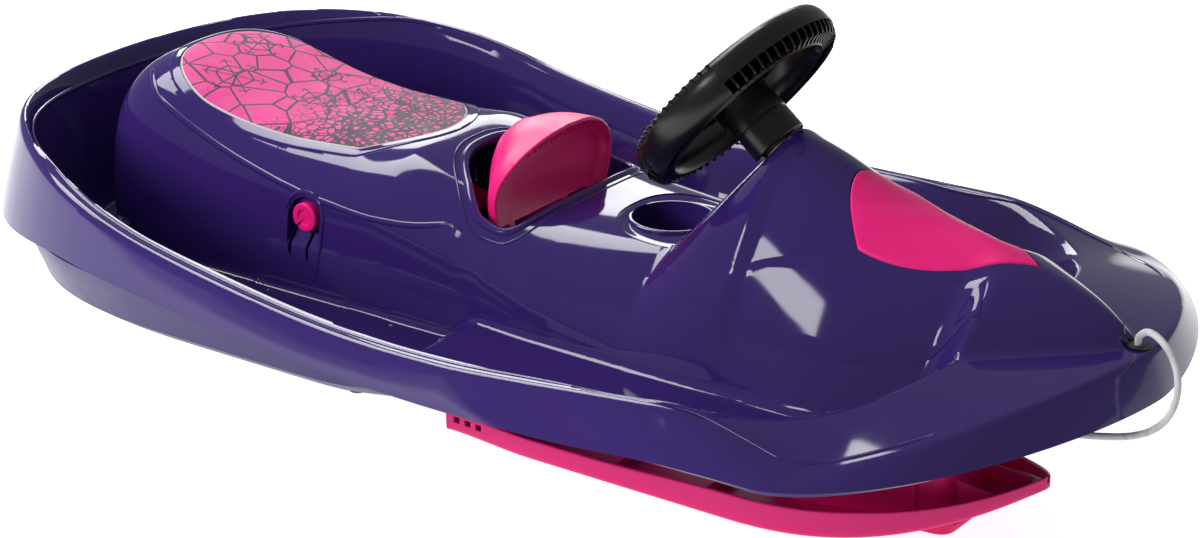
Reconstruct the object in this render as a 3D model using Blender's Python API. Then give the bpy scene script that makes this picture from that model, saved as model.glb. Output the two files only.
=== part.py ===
"""Child's steering sled: hull, steering wheel and ski, hand brake and tow cord.

Metres, +X forward, +Y to the rider's left, +Z up, with the ground at z = 0.
"""

from math import cos, hypot, pi, radians, sin

import bmesh
import bpy
from mathutils import Matrix, Vector

CLEARANCE = 0.0004
WALL = 0.0035

# Rim outline in plan: two rounded ends joined by straight sides
HULL_HALF_WIDTH = 0.310
REAR_CENTRE = -0.250
REAR_REACH = 0.3375
REAR_POWER = 2.1
FRONT_CENTRE = 0.384
FRONT_REACH = 0.190
FRONT_POWER = 1.58

# Rim heights and insets along the hull, as (x, value)
RIM_BOTTOM = [(-0.59, 0.150), (-0.50, 0.152), (-0.36, 0.166), (-0.286, 0.161), (-0.17, 0.148), (-0.06, 0.138),
              (0.065, 0.134), (0.185, 0.136), (0.30, 0.145), (0.45, 0.149), (0.50, 0.152), (0.59, 0.161)]
RIM_CREST = [(-0.59, 0.232), (-0.50, 0.2415), (-0.42, 0.236), (-0.34, 0.2215), (-0.245, 0.1985), (-0.153, 0.1825),
             (-0.067, 0.172), (0.02, 0.168), (0.12, 0.171), (0.30, 0.181), (0.42, 0.184)]
CREST_INSET = [(-0.59, 0.0255), (-0.45, 0.020), (-0.30, 0.008), (0.08, 0.008), (0.16, 0.014), (0.24, 0.022),
               (0.32, 0.028), (0.42, 0.026), (0.50, 0.020), (0.57, 0.012)]
DECK_CENTRE_HEIGHT = 0.197
DECK_SIDE_DROP = 0.0550
DECK_BLEND = (0.27, 0.43)
SPINE_REAR_X = -0.34
SPINE_FRONT_X = 0.44

# Foot wells
WELL_INSET = 0.025
WELL_FRONT_CENTRE = 0.190
WELL_FRONT_REACH = 0.255
WELL_FRONT_POWER = 2.5
WELL_WALL_RUN = 0.042
WELL_FLOOR_REAR = 0.103
WELL_FLOOR_FRONT = 0.125
FLOOR_STEP_X = -0.03
FLOOR_STEP_RUN = 0.04

# Seat mound and console
MOUND_REAR_CENTRE = -0.360
MOUND_REAR_REACH = 0.135
MOUND_HALF_WIDTH = [(-0.50, 0.127), (-0.05, 0.127), (0.05, 0.134), (0.30, 0.136), (0.36, 0.124), (0.43, 0.094),
                    (0.47, 0.066), (0.50, 0.044), (0.522, 0.027), (0.536, 0.011)]
MOUND_HEIGHT = [(-0.50, 0.262), (-0.45, 0.274), (-0.40, 0.266), (-0.32, 0.246), (-0.25, 0.238), (-0.18, 0.238),
                (-0.13, 0.241), (-0.07, 0.229), (-0.01, 0.215), (0.04, 0.212), (0.1385, 0.212)]
COLLAR_TOP_X = 0.226
COLLAR_TOP_HEIGHT = 0.3140
CONSOLE_HEIGHT = [(COLLAR_TOP_X, COLLAR_TOP_HEIGHT), (0.26, 0.303), (0.30, 0.286), (0.36, 0.268), (0.44, 0.250), (0.50, 0.231),
                  (0.536, 0.212)]
SECTION_POWER = [(-0.05, 4.0), (0.06, 3.2), (0.13, 2.6), (0.24, 1.75)]
SECTION_FALL = [(-0.05, 0.27), (0.06, 0.50), (0.13, 0.62), (0.24, 0.90)]

# Seat pad
PAD_REAR_CENTRE = -0.350
PAD_HALF_WIDTH = 0.087
PAD_FRONT_HALF_WIDTH = 0.077
PAD_CORNER_X = -0.1855
PAD_FRONT_BOW = 0.0455
PAD_THICKNESS = 0.004
PAD_SPINE = (-0.33, -0.20)
PATCH_GAP = 0.0006
BACKING_THICKNESS = 0.0075
BACKING_SINK = 0.0012

# Bonnet insert
INSERT_REAR_X = 0.288
INSERT_REAR_BOW = 0.034
INSERT_HALF_WIDTH = 0.057
INSERT_TIP_X = 0.458
INSERT_THICKNESS = 0.003
INSERT_SINK = 0.0008
INSERT_SPINE = (0.33, 0.42)
INSERT_POWER = 1.9

# Cup well
CUP_X = 0.102
CUP_RADIUS = 0.036
CUP_DEPTH = 0.058

# Steering column and wheel
WHEEL_X = 0.162
WHEEL_Z = 0.3353
COLUMN_TILT = radians(51)
WHEEL_RADIUS = 0.102
RIM_WIDTH = 0.024
RIM_DEPTH = 0.034
RIM_WALL = 0.004
HUB_RADIUS = 0.0265
WHEEL_SCREW_STATION = 0.0165
COLLAR_STATION = 0.0620
COLUMN_RADIUS = 0.010
COLUMN_LENGTH = 0.196
BUSH_RADIUS = 0.0145
BRACKET_STATION = 0.158
BRACKET_THICKNESS = 0.006
BRACKET_HALF_WIDTH = 0.040

# Spindle, arm and ball
SPINDLE_X = 0.345
SPINDLE_RADIUS = 0.008
BALL_X = 0.267
BALL_Z = 0.170
BALL_RADIUS = 0.007
ARM_THICKNESS = 0.010
FORK_PLAY = 0.0012
FORK_TINE = 0.004

# Carrier plate under the console
CARRIER_REAR_X = 0.186
CARRIER_FRONT_X = 0.404
CARRIER_HALF_WIDTH = 0.170
CARRIER_THICKNESS = 0.007
CARRIER_DROP = 0.010
CARRIER_BOSS_RADIUS = 0.017

# Steering ski
SKI_REAR_X = -0.067
SKI_TIP_X = 0.4785
SKI_HALF_WIDTH = 0.117
SKI_TAPER_X = 0.235
SKI_CURVE_X = 0.235
SKI_TIP_RISE = 0.053
SKI_WALL = [(-0.067, 0.0200), (0.10, 0.0205), (0.235, 0.0260), (0.35, 0.0250), (0.4785, 0.0110)]
SKI_SKIN = 0.0035
SKI_BOX_REAR_X = 0.262
SKI_BOX_FRONT_X = 0.405
SKI_BOX_HALF_WIDTH = 0.052
SKI_BOX_HEIGHT = 0.062
SKI_HUB_RADIUS = 0.018
SKI_CHAMFER = 0.006
SKI_RIB_PLACES = (0.02, 0.11, 0.20)
SKI_WEB_PLACES = (0.295, 0.375)

# Lower hull pan
PAN_INSET = 0.060
PAN_REAR_REACH = 0.290
PAN_REAR_POWER = 2.6
PAN_FRONT_CENTRE = -0.160
PAN_FRONT_REACH = 0.150
PAN_FRONT_POWER = 5.0
PAN_PROFILE = [(0.0, 0.005), (0.13, 0.005), (0.17, 0.0), (0.29, 0.0), (0.345, 0.007), (0.92, 0.079), (0.97, 0.0875),
               (1.0, 0.0940)]
TOWER_RADIUS = 0.008
TOWER_PLACES = [(-0.40, 0.145), (-0.25, 0.125), (-0.11, 0.132)]
TOWER_LAP = 0.012
SCREW_RADIUS = 0.002
SCREW_HEAD_RADIUS = 0.004

# Brake
AXLE_X = -0.213
AXLE_Z = 0.176
AXLE_RADIUS = 0.005
CAP_RADIUS = 0.0135
CAP_STEM_RADIUS = 0.0088
POCKET_RADIUS = 0.0185
POCKET_DROP = 0.030
POCKET_BACK_Y = 0.1160
SLOT_X = -0.035
SLOT_FRONT_REACH = 0.042
SLOT_REAR_REACH = 0.068
SLOT_HALF_WIDTH = 0.096
SLOT_POWER = 3.4
LIP_LEAN = [(0.185, -0.0275), (0.205, -0.0270), (0.234, -0.0245), (0.252, -0.0185), (0.272, -0.0090)]
HANDLE_FOOT_Z = 0.185
HANDLE_WALL = 0.004
LIP = [(0.0, 0.2720), (0.030, 0.2690), (0.055, 0.2600), (0.074, 0.2470), (0.0850, 0.2340), (0.0885, 0.2200),
       (0.0855, 0.2020), (0.0800, 0.1850)]
HANDLE_BACK = [(0.0, -0.085), (0.022, -0.0785), (0.042, -0.0665), (0.060, -0.0530), (0.072, -0.0440), (0.0785, -0.0385),
               (0.0800, -0.0350), (0.0780, -0.0330)]
LEVER_ARM_Y = 0.040
LEVER_ARM_WIDTH = 0.008
LEVER_ARM = [(-0.0640, 0.210), (-0.0440, 0.210), (-0.0420, 0.175), (-0.065, 0.150), (-0.120, 0.154), (-0.213, 0.166),
             (-0.222, 0.176), (-0.213, 0.186), (-0.120, 0.172), (-0.0700, 0.176)]
TUBE_RADIUS = 0.012
TUBE_HALF_LENGTH = 0.085
CLAW_LENGTH = 0.190
CLAW_ANGLE = radians(60)
CLAW_Y = 0.028
CLAW_THICKNESS = 0.004
CLAW_SLOT = (-0.328, -0.206)
CLAW_SLOT_HALF_WIDTH = 0.006
SPRING_RADIUS = 0.0150
SPRING_WIRE = 0.0011
SPRING_TURNS = 3

# Tow cord
CORD_RADIUS = 0.003
KNOT_RADIUS = 0.008
CORD_HOLE_X = 0.549
CORD_GUIDE_RADIUS = 0.0065
CORD_ROUTE = [(0.549, 0.000, 0.1905), (0.5490, 0.000, 0.1985), (0.5500, -0.001, 0.2065), (0.5585, -0.004, 0.2135),
              (0.5715, -0.010, 0.2130), (0.5860, -0.018, 0.2060), (0.5965, -0.026, 0.1930), (0.6000, -0.033, 0.1770),
              (0.5960, -0.038, 0.1615), (0.5850, -0.041, 0.1490), (0.5680, -0.042, 0.1400), (0.5450, -0.041, 0.1330),
              (0.5180, -0.039, 0.1270), (0.4880, -0.037, 0.1235), (0.4550, -0.035, 0.1220), (0.4250, -0.034, 0.1215),
              (0.4070, -0.034, 0.1215), (0.3955, -0.034, 0.1215)]

# Grid of the hull's skin
GRID_SIDE_COLUMNS = 28
GRID_END_COLUMNS = 6
WALL_RINGS = (0.001, 0.012, 0.022, 0.032, 0.043)
INNER_RINGS = (0.012, 0.05, 0.14, 0.32, 0.62, 1.0)

COLOURS = {
    "hull_purple": ((0.036, 0.016, 0.110, 1), 0.16, 0.0),
    "pan_purple": ((0.050, 0.028, 0.125, 1), 0.35, 0.0),
    "pink": ((0.83, 0.018, 0.19, 1), 0.30, 0.0),
    "pad_pink": ((0.85, 0.065, 0.36, 1), 0.45, 0.0),
    "black": ((0.012, 0.012, 0.013, 1), 0.42, 0.0),
    "steel": ((0.55, 0.56, 0.58, 1), 0.28, 1.0),
    "nylon": ((0.75, 0.75, 0.73, 1), 0.45, 0.0),
    "cord_grey": ((0.62, 0.62, 0.63, 1), 0.80, 0.0),
}


def clear_scene():
    for old in list(bpy.data.objects):
        bpy.data.objects.remove(old)


def material(name):
    found = bpy.data.materials.get(name)
    if found:
        return found
    colour, roughness, metallic = COLOURS[name]
    made = bpy.data.materials.new(name)
    made.use_nodes = True
    shader = made.node_tree.nodes["Principled BSDF"]
    shader.inputs["Base Color"].default_value = colour
    shader.inputs["Roughness"].default_value = roughness
    shader.inputs["Metallic"].default_value = metallic
    return made


def smooth_step(low, high, value):
    t = min(max((value - low) / (high - low), 0), 1)
    return t * t * (3 - 2 * t)


def along(points, x):
    """Height of a smooth curve through (x, value) points."""
    if x <= points[0][0]:
        return points[0][1]
    if x >= points[-1][0]:
        return points[-1][1]
    i = max(k for k in range(len(points) - 1) if points[k][0] <= x)
    x0, v0 = points[i]
    x1, v1 = points[i + 1]
    span = x1 - x0
    before = points[max(i - 1, 0)]
    after = points[min(i + 2, len(points) - 1)]
    m0 = (v1 - before[1]) / (x1 - before[0]) * span
    m1 = (after[1] - v0) / (after[0] - x0) * span
    step = v1 - v0
    m0 = min(max(m0, min(0, 3 * step)), max(0, 3 * step))
    m1 = min(max(m1, min(0, 3 * step)), max(0, 3 * step))
    t = (x - x0) / span
    return v0 + m0 * t * (1 - t) ** 2 + step * t * t * (3 - 2 * t) - m1 * t * t * (1 - t)


def straight_along(points, x):
    """Height of a line of straight runs through (x, value) points."""
    if x <= points[0][0]:
        return points[0][1]
    for (x0, v0), (x1, v1) in zip(points, points[1:]):
        if x <= x1:
            return v0 + (v1 - v0) * (x - x0) / (x1 - x0)
    return points[-1][1]


def outline_point(angle, inset=0.0):
    """Point of the rim outline at a sweep angle: 0 at the nose, pi at the stern."""
    c, s = cos(angle), sin(angle)
    half = HULL_HALF_WIDTH - inset
    if c >= 0:
        x = FRONT_CENTRE + (FRONT_REACH - inset) * c ** (2 / FRONT_POWER)
        return x, half * s ** (2 / FRONT_POWER)
    x = REAR_CENTRE - (REAR_REACH - inset) * (-c) ** (2 / REAR_POWER)
    return x, half * s ** (2 / REAR_POWER)


def outline_share(x, y, inset, front_reach, rear_reach=REAR_REACH, half=HULL_HALF_WIDTH,
                  front_centre=FRONT_CENTRE, front_power=FRONT_POWER, rear_power=REAR_POWER):
    """How far out a point lies: 0 on the spine, 1 on the outline."""
    width = abs(y) / (half - inset)
    if x > front_centre:
        reach = (x - front_centre) / (front_reach - inset)
        return (reach ** front_power + width ** front_power) ** (1 / front_power)
    if x < REAR_CENTRE:
        reach = (REAR_CENTRE - x) / (rear_reach - inset)
        return (reach ** rear_power + width ** rear_power) ** (1 / rear_power)
    return width


def rim_height(x, y):
    """Top of the rim and of the front deck."""
    deck = DECK_CENTRE_HEIGHT - DECK_SIDE_DROP * (y / HULL_HALF_WIDTH) ** 2
    side = along(RIM_CREST, x)
    blend = smooth_step(*DECK_BLEND, x)
    return side + (deck - side) * blend


def floor_height(x):
    half = FLOOR_STEP_RUN / 2
    rise = smooth_step(FLOOR_STEP_X - half, FLOOR_STEP_X + half, x)
    return WELL_FLOOR_REAR + (WELL_FLOOR_FRONT - WELL_FLOOR_REAR) * rise


def well_depth(x, y):
    """Distance inside the foot wells' outline."""
    share = outline_share(x, y, WELL_INSET, WELL_FRONT_REACH + WELL_INSET, front_centre=WELL_FRONT_CENTRE,
                          front_power=WELL_FRONT_POWER)
    return (1 - share) * (HULL_HALF_WIDTH - WELL_INSET)


def base_height(x, y):
    """Rim top falling into the foot well, as if there were no seat mound."""
    fall = smooth_step(0, WELL_WALL_RUN, well_depth(x, y))
    top = rim_height(x, y)
    return top + (floor_height(x) - top) * fall


def mound_share(x, y):
    """0 on the spine and 1 at the foot of the mound."""
    half = along(MOUND_HALF_WIDTH, x)
    width = abs(y) / half
    if x > MOUND_HALF_WIDTH[-1][0]:
        return 2.0
    if x < MOUND_REAR_CENTRE:
        reach = (MOUND_REAR_CENTRE - x) / MOUND_REAR_REACH
        return (reach ** 3 + width ** 3) ** (1 / 3)
    return width


def spine_height(x):
    if x <= MOUND_HEIGHT[-1][0]:
        return along(MOUND_HEIGHT, x)
    if x <= COLLAR_TOP_X:
        foot_x, foot = MOUND_HEIGHT[-1]
        return foot + (COLLAR_TOP_HEIGHT - foot) * (x - foot_x) / (COLLAR_TOP_X - foot_x)
    return along(CONSOLE_HEIGHT, x)


def body_height(x, y):
    """Hull surface without the recesses for the pad and the insert."""
    ground = base_height(x, y)
    share = mound_share(x, y)
    if share >= 1:
        return ground
    power = along(SECTION_POWER, x)
    fall = along(SECTION_FALL, x)
    return ground + (spine_height(x) - ground) * (1 - share ** power) ** fall


def insert_half(x):
    run = (x - INSERT_REAR_X - INSERT_REAR_BOW) / (INSERT_TIP_X - INSERT_REAR_X - INSERT_REAR_BOW)
    return INSERT_HALF_WIDTH * (1 - min(max(run, 0), 1) ** INSERT_POWER)


def add_object(name, mesh, colour, smooth_angle=30):
    mesh.materials.append(material(colour))
    made = bpy.data.objects.new(name, mesh)
    bpy.context.scene.collection.objects.link(made)
    mesh.shade_smooth()
    mesh.set_sharp_from_angle(angle=radians(smooth_angle))
    return made


def from_bmesh(name, bm, colour, smooth_angle=30):
    bmesh.ops.recalc_face_normals(bm, faces=bm.faces)
    mesh = bpy.data.meshes.new(name)
    bm.to_mesh(mesh)
    bm.free()
    return add_object(name, mesh, colour, smooth_angle)


def loft(sections):
    """Closed skin through rings of points, each ring with the same count."""
    bm = bmesh.new()
    rings = [[bm.verts.new(p) for p in section] for section in sections]
    for one, two in zip(rings, rings[1:]):
        for k in range(len(one)):
            n = (k + 1) % len(one)
            bm.faces.new((one[k], one[n], two[n], two[k]))
    bm.faces.new(rings[0])
    bm.faces.new(rings[-1])
    return bm


def turned(profile, axis_point, axis, segments=32):
    """Solid turned from (radius, distance along axis) points; a radius of 0 closes on the axis."""
    axis = Vector(axis).normalized()
    side = axis.orthogonal().normalized()
    other = axis.cross(side)
    origin = Vector(axis_point)
    bm = bmesh.new()
    rings = []
    for radius, distance in profile:
        centre = origin + axis * distance
        if radius == 0:
            rings.append([bm.verts.new(centre)])
            continue
        turn = [2 * pi * k / segments for k in range(segments)]
        rings.append([bm.verts.new(centre + (side * cos(a) + other * sin(a)) * radius) for a in turn])
    closed = profile[0][0] != 0
    pairs = list(zip(rings, rings[1:])) + ([(rings[-1], rings[0])] if closed else [])
    for one, two in pairs:
        for k in range(segments):
            n = (k + 1) % segments
            if len(one) == 1:
                bm.faces.new((one[0], two[n], two[k]))
            elif len(two) == 1:
                bm.faces.new((one[k], one[n], two[0]))
            else:
                bm.faces.new((one[k], one[n], two[n], two[k]))
    return bm


def rod(radius, start, end, segments=24):
    start, end = Vector(start), Vector(end)
    return turned([(0, 0), (radius, 0), (radius, (end - start).length), (0, (end - start).length)],
                  start, end - start, segments)


def block(low, high):
    bm = bmesh.new()
    bmesh.ops.create_cube(bm, size=1)
    size = [h - l for l, h in zip(low, high)]
    middle = [(h + l) / 2 for l, h in zip(low, high)]
    bmesh.ops.scale(bm, vec=size, verts=bm.verts)
    bmesh.ops.translate(bm, vec=middle, verts=bm.verts)
    return bm


def prism(outline, low, high, frame=Matrix.Identity(4)):
    """Outline of (u, v) points raised from low to high along w, in a frame of u, v and w."""
    rings = [[frame @ Vector((u, v, w)) for u, v in outline] for w in (low, high)]
    return loft(rings)


def cutter(name, bm):
    made = from_bmesh(name, bm, "nylon")
    made.hide_render = True
    made.display_type = "WIRE"
    return made


def combine(target, name, bm, operation, solver="EXACT"):
    tool = cutter(name, bm)
    step = target.modifiers.new(name, "BOOLEAN")
    step.operation = operation
    step.object = tool
    step.solver = solver


def cut(target, name, bm, solver="EXACT"):
    combine(target, name, bm, "DIFFERENCE", solver)


def join(target, name, bm, solver="EXACT"):
    combine(target, name, bm, "UNION", solver)


def column_point(station, up=0.0):
    """Point by its distance down the column from the wheel, and its offset up from the column's axis."""
    down = Vector((sin(COLUMN_TILT), 0, -cos(COLUMN_TILT)))
    rise = Vector((cos(COLUMN_TILT), 0, sin(COLUMN_TILT)))
    return Vector((WHEEL_X, 0, WHEEL_Z)) + down * station + rise * up


def column_frame(station):
    """Frame with u to the rider's left, v up the wheel's plane and w down the column."""
    down = Vector((sin(COLUMN_TILT), 0, -cos(COLUMN_TILT)))
    rise = Vector((cos(COLUMN_TILT), 0, sin(COLUMN_TILT)))
    origin = column_point(station)
    return Matrix(((0, rise.x, down.x, origin.x), (1, rise.y, down.y, origin.y), (0, rise.z, down.z, origin.z),
                   (0, 0, 0, 1)))


def grid_columns():
    """Outline angles of the hull grid's columns with the spine point that each one runs to."""
    columns = []
    end = GRID_END_COLUMNS
    for k in range(end):
        columns.append((pi / 2 * k / end, FRONT_CENTRE))
    for k in range(GRID_SIDE_COLUMNS + 1):
        x = FRONT_CENTRE + (REAR_CENTRE - FRONT_CENTRE) * k / GRID_SIDE_COLUMNS
        columns.append((None, x))
    for k in range(1, end + 1):
        columns.append((pi / 2 + pi / 2 * k / end, REAR_CENTRE))
    return columns


def spine_end(angle):
    return SPINE_FRONT_X if cos(angle) > 0 else SPINE_REAR_X


def first_fraction(start, end, reached):
    """How far along a line a test first holds, for a test that then stays true."""
    low, high = 0.0, 1.0
    for _ in range(40):
        middle = (low + high) / 2
        x = start[0] + (end[0] - start[0]) * middle
        y = start[1] + (end[1] - start[1]) * middle
        if reached(x, y):
            high = middle
        else:
            low = middle
    return (low + high) / 2


def column_fractions(start, end):
    """Rings along a column: the crest, the well's wall, the foot of the mound and the mound."""
    foot = first_fraction(start, end, lambda x, y: mound_share(x, y) <= 1)
    walls = [first_fraction(start, end, lambda x, y, d=depth: well_depth(x, y) > d) for depth in WALL_RINGS]
    walls = [wall for wall in walls if wall < foot * 0.96]
    missing = len(WALL_RINGS) - len(walls)
    last = walls[-1] if walls else 0.0
    walls += [last + (foot - last) * (k + 1) / (missing + 1) for k in range(missing)]
    return [0.0] + walls + [foot] + [foot + (1 - foot) * ring for ring in INNER_RINGS]


def hull_column(angle, side_x):
    """Points of one column from the rim's lower edge to the spine, on the +Y side."""
    if angle is None:
        rim = (side_x, HULL_HALF_WIDTH)
        inset = along(CREST_INSET, side_x)
        crest = (side_x, HULL_HALF_WIDTH - inset)
        spine = (side_x, 0.0)
    else:
        rim = outline_point(angle)
        inset = along(CREST_INSET, rim[0])
        crest = outline_point(angle, inset)
        end = spine_end(angle)
        reach = rim[0] - side_x
        full = FRONT_REACH if end > 0 else -REAR_REACH
        spine = (side_x + (end - side_x) * reach / full, 0.0)
    bottom = along(RIM_BOTTOM, rim[0])
    top = rim_height(*crest)
    points = [(rim[0], rim[1], bottom)]
    for share, drop in ((0.35, 0.60), (0.70, 0.20)):
        x = rim[0] + (crest[0] - rim[0]) * share
        y = rim[1] + (crest[1] - rim[1]) * share
        points.append((x, y, top - (top - bottom) * drop))
    for share in column_fractions(crest, spine):
        x = crest[0] + (spine[0] - crest[0]) * share
        y = crest[1] + (spine[1] - crest[1]) * share
        points.append((x, y, body_height(x, y)))
    return points


def skin_grid(columns):
    """One sheet over both sides of a hull, from columns given for the +Y side."""
    bm = bmesh.new()
    for side in (1, -1):
        rows = [[bm.verts.new((x, side * y, z)) for x, y, z in column] for column in columns]
        for one, two in zip(rows, rows[1:]):
            for k in range(len(one) - 1):
                quad = [one[k], one[k + 1], two[k + 1], two[k]]
                bm.faces.new(quad if side > 0 else quad[::-1])
    bmesh.ops.remove_doubles(bm, verts=bm.verts, dist=0.0002)
    bmesh.ops.dissolve_degenerate(bm, edges=bm.edges, dist=0.0002)
    bmesh.ops.recalc_face_normals(bm, faces=bm.faces)
    up = sum(face.normal.z * face.calc_area() for face in bm.faces)
    if up < 0:
        bmesh.ops.reverse_faces(bm, faces=bm.faces)
    return bm


def thicken(made, wall, inward=-1):
    step = made.modifiers.new("wall", "SOLIDIFY")
    step.thickness = wall
    step.offset = inward
    step.use_even_offset = True
    step.use_quality_normals = True


def sheet_object(name, bm, colour):
    mesh = bpy.data.meshes.new(name)
    bm.to_mesh(mesh)
    bm.free()
    return add_object(name, mesh, colour)


def slot_outline(count=32):
    points = []
    for k in range(count):
        a = 2 * pi * k / count
        reach = SLOT_FRONT_REACH if cos(a) >= 0 else SLOT_REAR_REACH
        u = reach * abs(cos(a)) ** (2 / SLOT_POWER) * (1 if cos(a) >= 0 else -1)
        v = SLOT_HALF_WIDTH * abs(sin(a)) ** (2 / SLOT_POWER) * (1 if sin(a) >= 0 else -1)
        points.append((SLOT_X + u, v))
    return points


def tower_sites():
    """Screw towers on both sides, each placed by its distance in from the hull's widest line."""
    return [(x, side * (HULL_HALF_WIDTH - inset)) for x, inset in TOWER_PLACES for side in (1, -1)]


def carrier_sites():
    inset = 0.016
    ends = (CARRIER_REAR_X + inset, CARRIER_FRONT_X - inset)
    return [(x, side * (CARRIER_HALF_WIDTH - 0.012)) for x in ends for side in (1, -1)]


def floor_underside(x):
    return floor_height(x) - WALL


def patch_mesh(outline, spine_from, spine_to, top, bottom, rings):
    """Closed skin between two depths of the hull surface, inside an outline from front to rear on the +Y side."""
    bm = bmesh.new()
    grid = {}

    def vertex(layer, x, y):
        key = (layer, round(x, 6), round(y, 6))
        if key not in grid:
            grid[key] = bm.verts.new((x, y, body_height(x, y) + layer))
        return grid[key]

    rows = []
    for x, y in outline:
        end = min(max(x, spine_from), spine_to)
        rows.append([(x + (end - x) * share, y * (1 - share)) for share in rings])
    for side in (1, -1):
        for layer in (top, bottom):
            for one, two in zip(rows, rows[1:]):
                for k in range(len(rings) - 1):
                    corners = [one[k], one[k + 1], two[k + 1], two[k]]
                    ring = [vertex(layer, x, side * y) for x, y in corners]
                    ring = [v for n, v in enumerate(ring) if v not in ring[:n]]
                    if len(ring) > 2:
                        bm.faces.new(ring)
        for (x0, y0), (x1, y1) in zip(outline, outline[1:]):
            bm.faces.new([vertex(top, x0, side * y0), vertex(top, x1, side * y1),
                          vertex(bottom, x1, side * y1), vertex(bottom, x0, side * y0)])
    return bm


def grown(outline, margin):
    """Outline moved outwards by a margin, with its ends kept on the centre line."""
    moved = []
    for k, (x, y) in enumerate(outline):
        before = outline[k - 1] if k else (x, -outline[1][1])
        after = outline[k + 1] if k + 1 < len(outline) else (x, -outline[-2][1])
        dx, dy = after[0] - before[0], after[1] - before[1]
        size = hypot(dx, dy)
        moved.append((x + margin * dy / size, max(0.0, y - margin * dx / size)))
    moved[0] = (moved[0][0], 0.0)
    moved[-1] = (moved[-1][0], 0.0)
    return moved


def pad_outline():
    points = []
    for k in range(7):
        y = PAD_FRONT_HALF_WIDTH * k / 6
        points.append((PAD_CORNER_X + PAD_FRONT_BOW * (1 - (y / PAD_FRONT_HALF_WIDTH) ** 2), y))
    for k in range(1, 6):
        run = 1 - k / 5
        x = PAD_REAR_CENTRE + (PAD_CORNER_X - PAD_REAR_CENTRE) * run
        points.append((x, PAD_HALF_WIDTH + (PAD_FRONT_HALF_WIDTH - PAD_HALF_WIDTH) * run ** 2))
    for k in range(1, 11):
        a = pi / 2 * k / 10
        points.append((PAD_REAR_CENTRE - PAD_HALF_WIDTH * sin(a), PAD_HALF_WIDTH * cos(a)))
    points[-1] = (points[-1][0], 0.0)
    return points


def insert_outline():
    start = INSERT_REAR_X + INSERT_REAR_BOW
    points = [(start + (INSERT_TIP_X - start) * cos(pi / 2 * k / 8), 0) for k in range(8)]
    points = [(x, insert_half(x)) for x, _ in points] + [(start, INSERT_HALF_WIDTH)]
    for k in range(1, 7):
        y = INSERT_HALF_WIDTH * (1 - k / 6)
        points.append((INSERT_REAR_X + INSERT_REAR_BOW * (y / INSERT_HALF_WIDTH) ** 2, y))
    return points


def cover_parts():
    """Name, colour, outline, spine span, sink and thickness of the panels let into the hull."""
    return (("seat_pad", "pad_pink", pad_outline(), PAD_SPINE, 0.0, PAD_THICKNESS),
            ("bonnet_insert", "pink", insert_outline(), INSERT_SPINE, -INSERT_SINK, INSERT_THICKNESS))


def mound_side(z):
    """Half width of the mound's wall at a height, at the axle."""
    low, high = 0.05, along(MOUND_HALF_WIDTH, AXLE_X)
    for _ in range(30):
        middle = (low + high) / 2
        if body_height(AXLE_X, middle) > z:
            low = middle
        else:
            high = middle
    return low


def pocket_solid(side, margin, back_y, to_wall):
    """Arched block round the axle, from a flat back out to the mound's wall or clear of it."""
    radius = POCKET_RADIUS + margin
    outline = [(AXLE_X - radius, AXLE_Z - POCKET_DROP - margin), (AXLE_X + radius, AXLE_Z - POCKET_DROP - margin)]
    for k in range(9):
        a = pi * k / 8
        outline.append((AXLE_X + radius * cos(a), AXLE_Z + radius * sin(a)))
    back = [(x, side * back_y, z) for x, z in outline]
    front = [(x, side * (mound_side(z) - 0.0006 if to_wall else 0.15), z) for x, z in outline]
    return loft([back, front])


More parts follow.
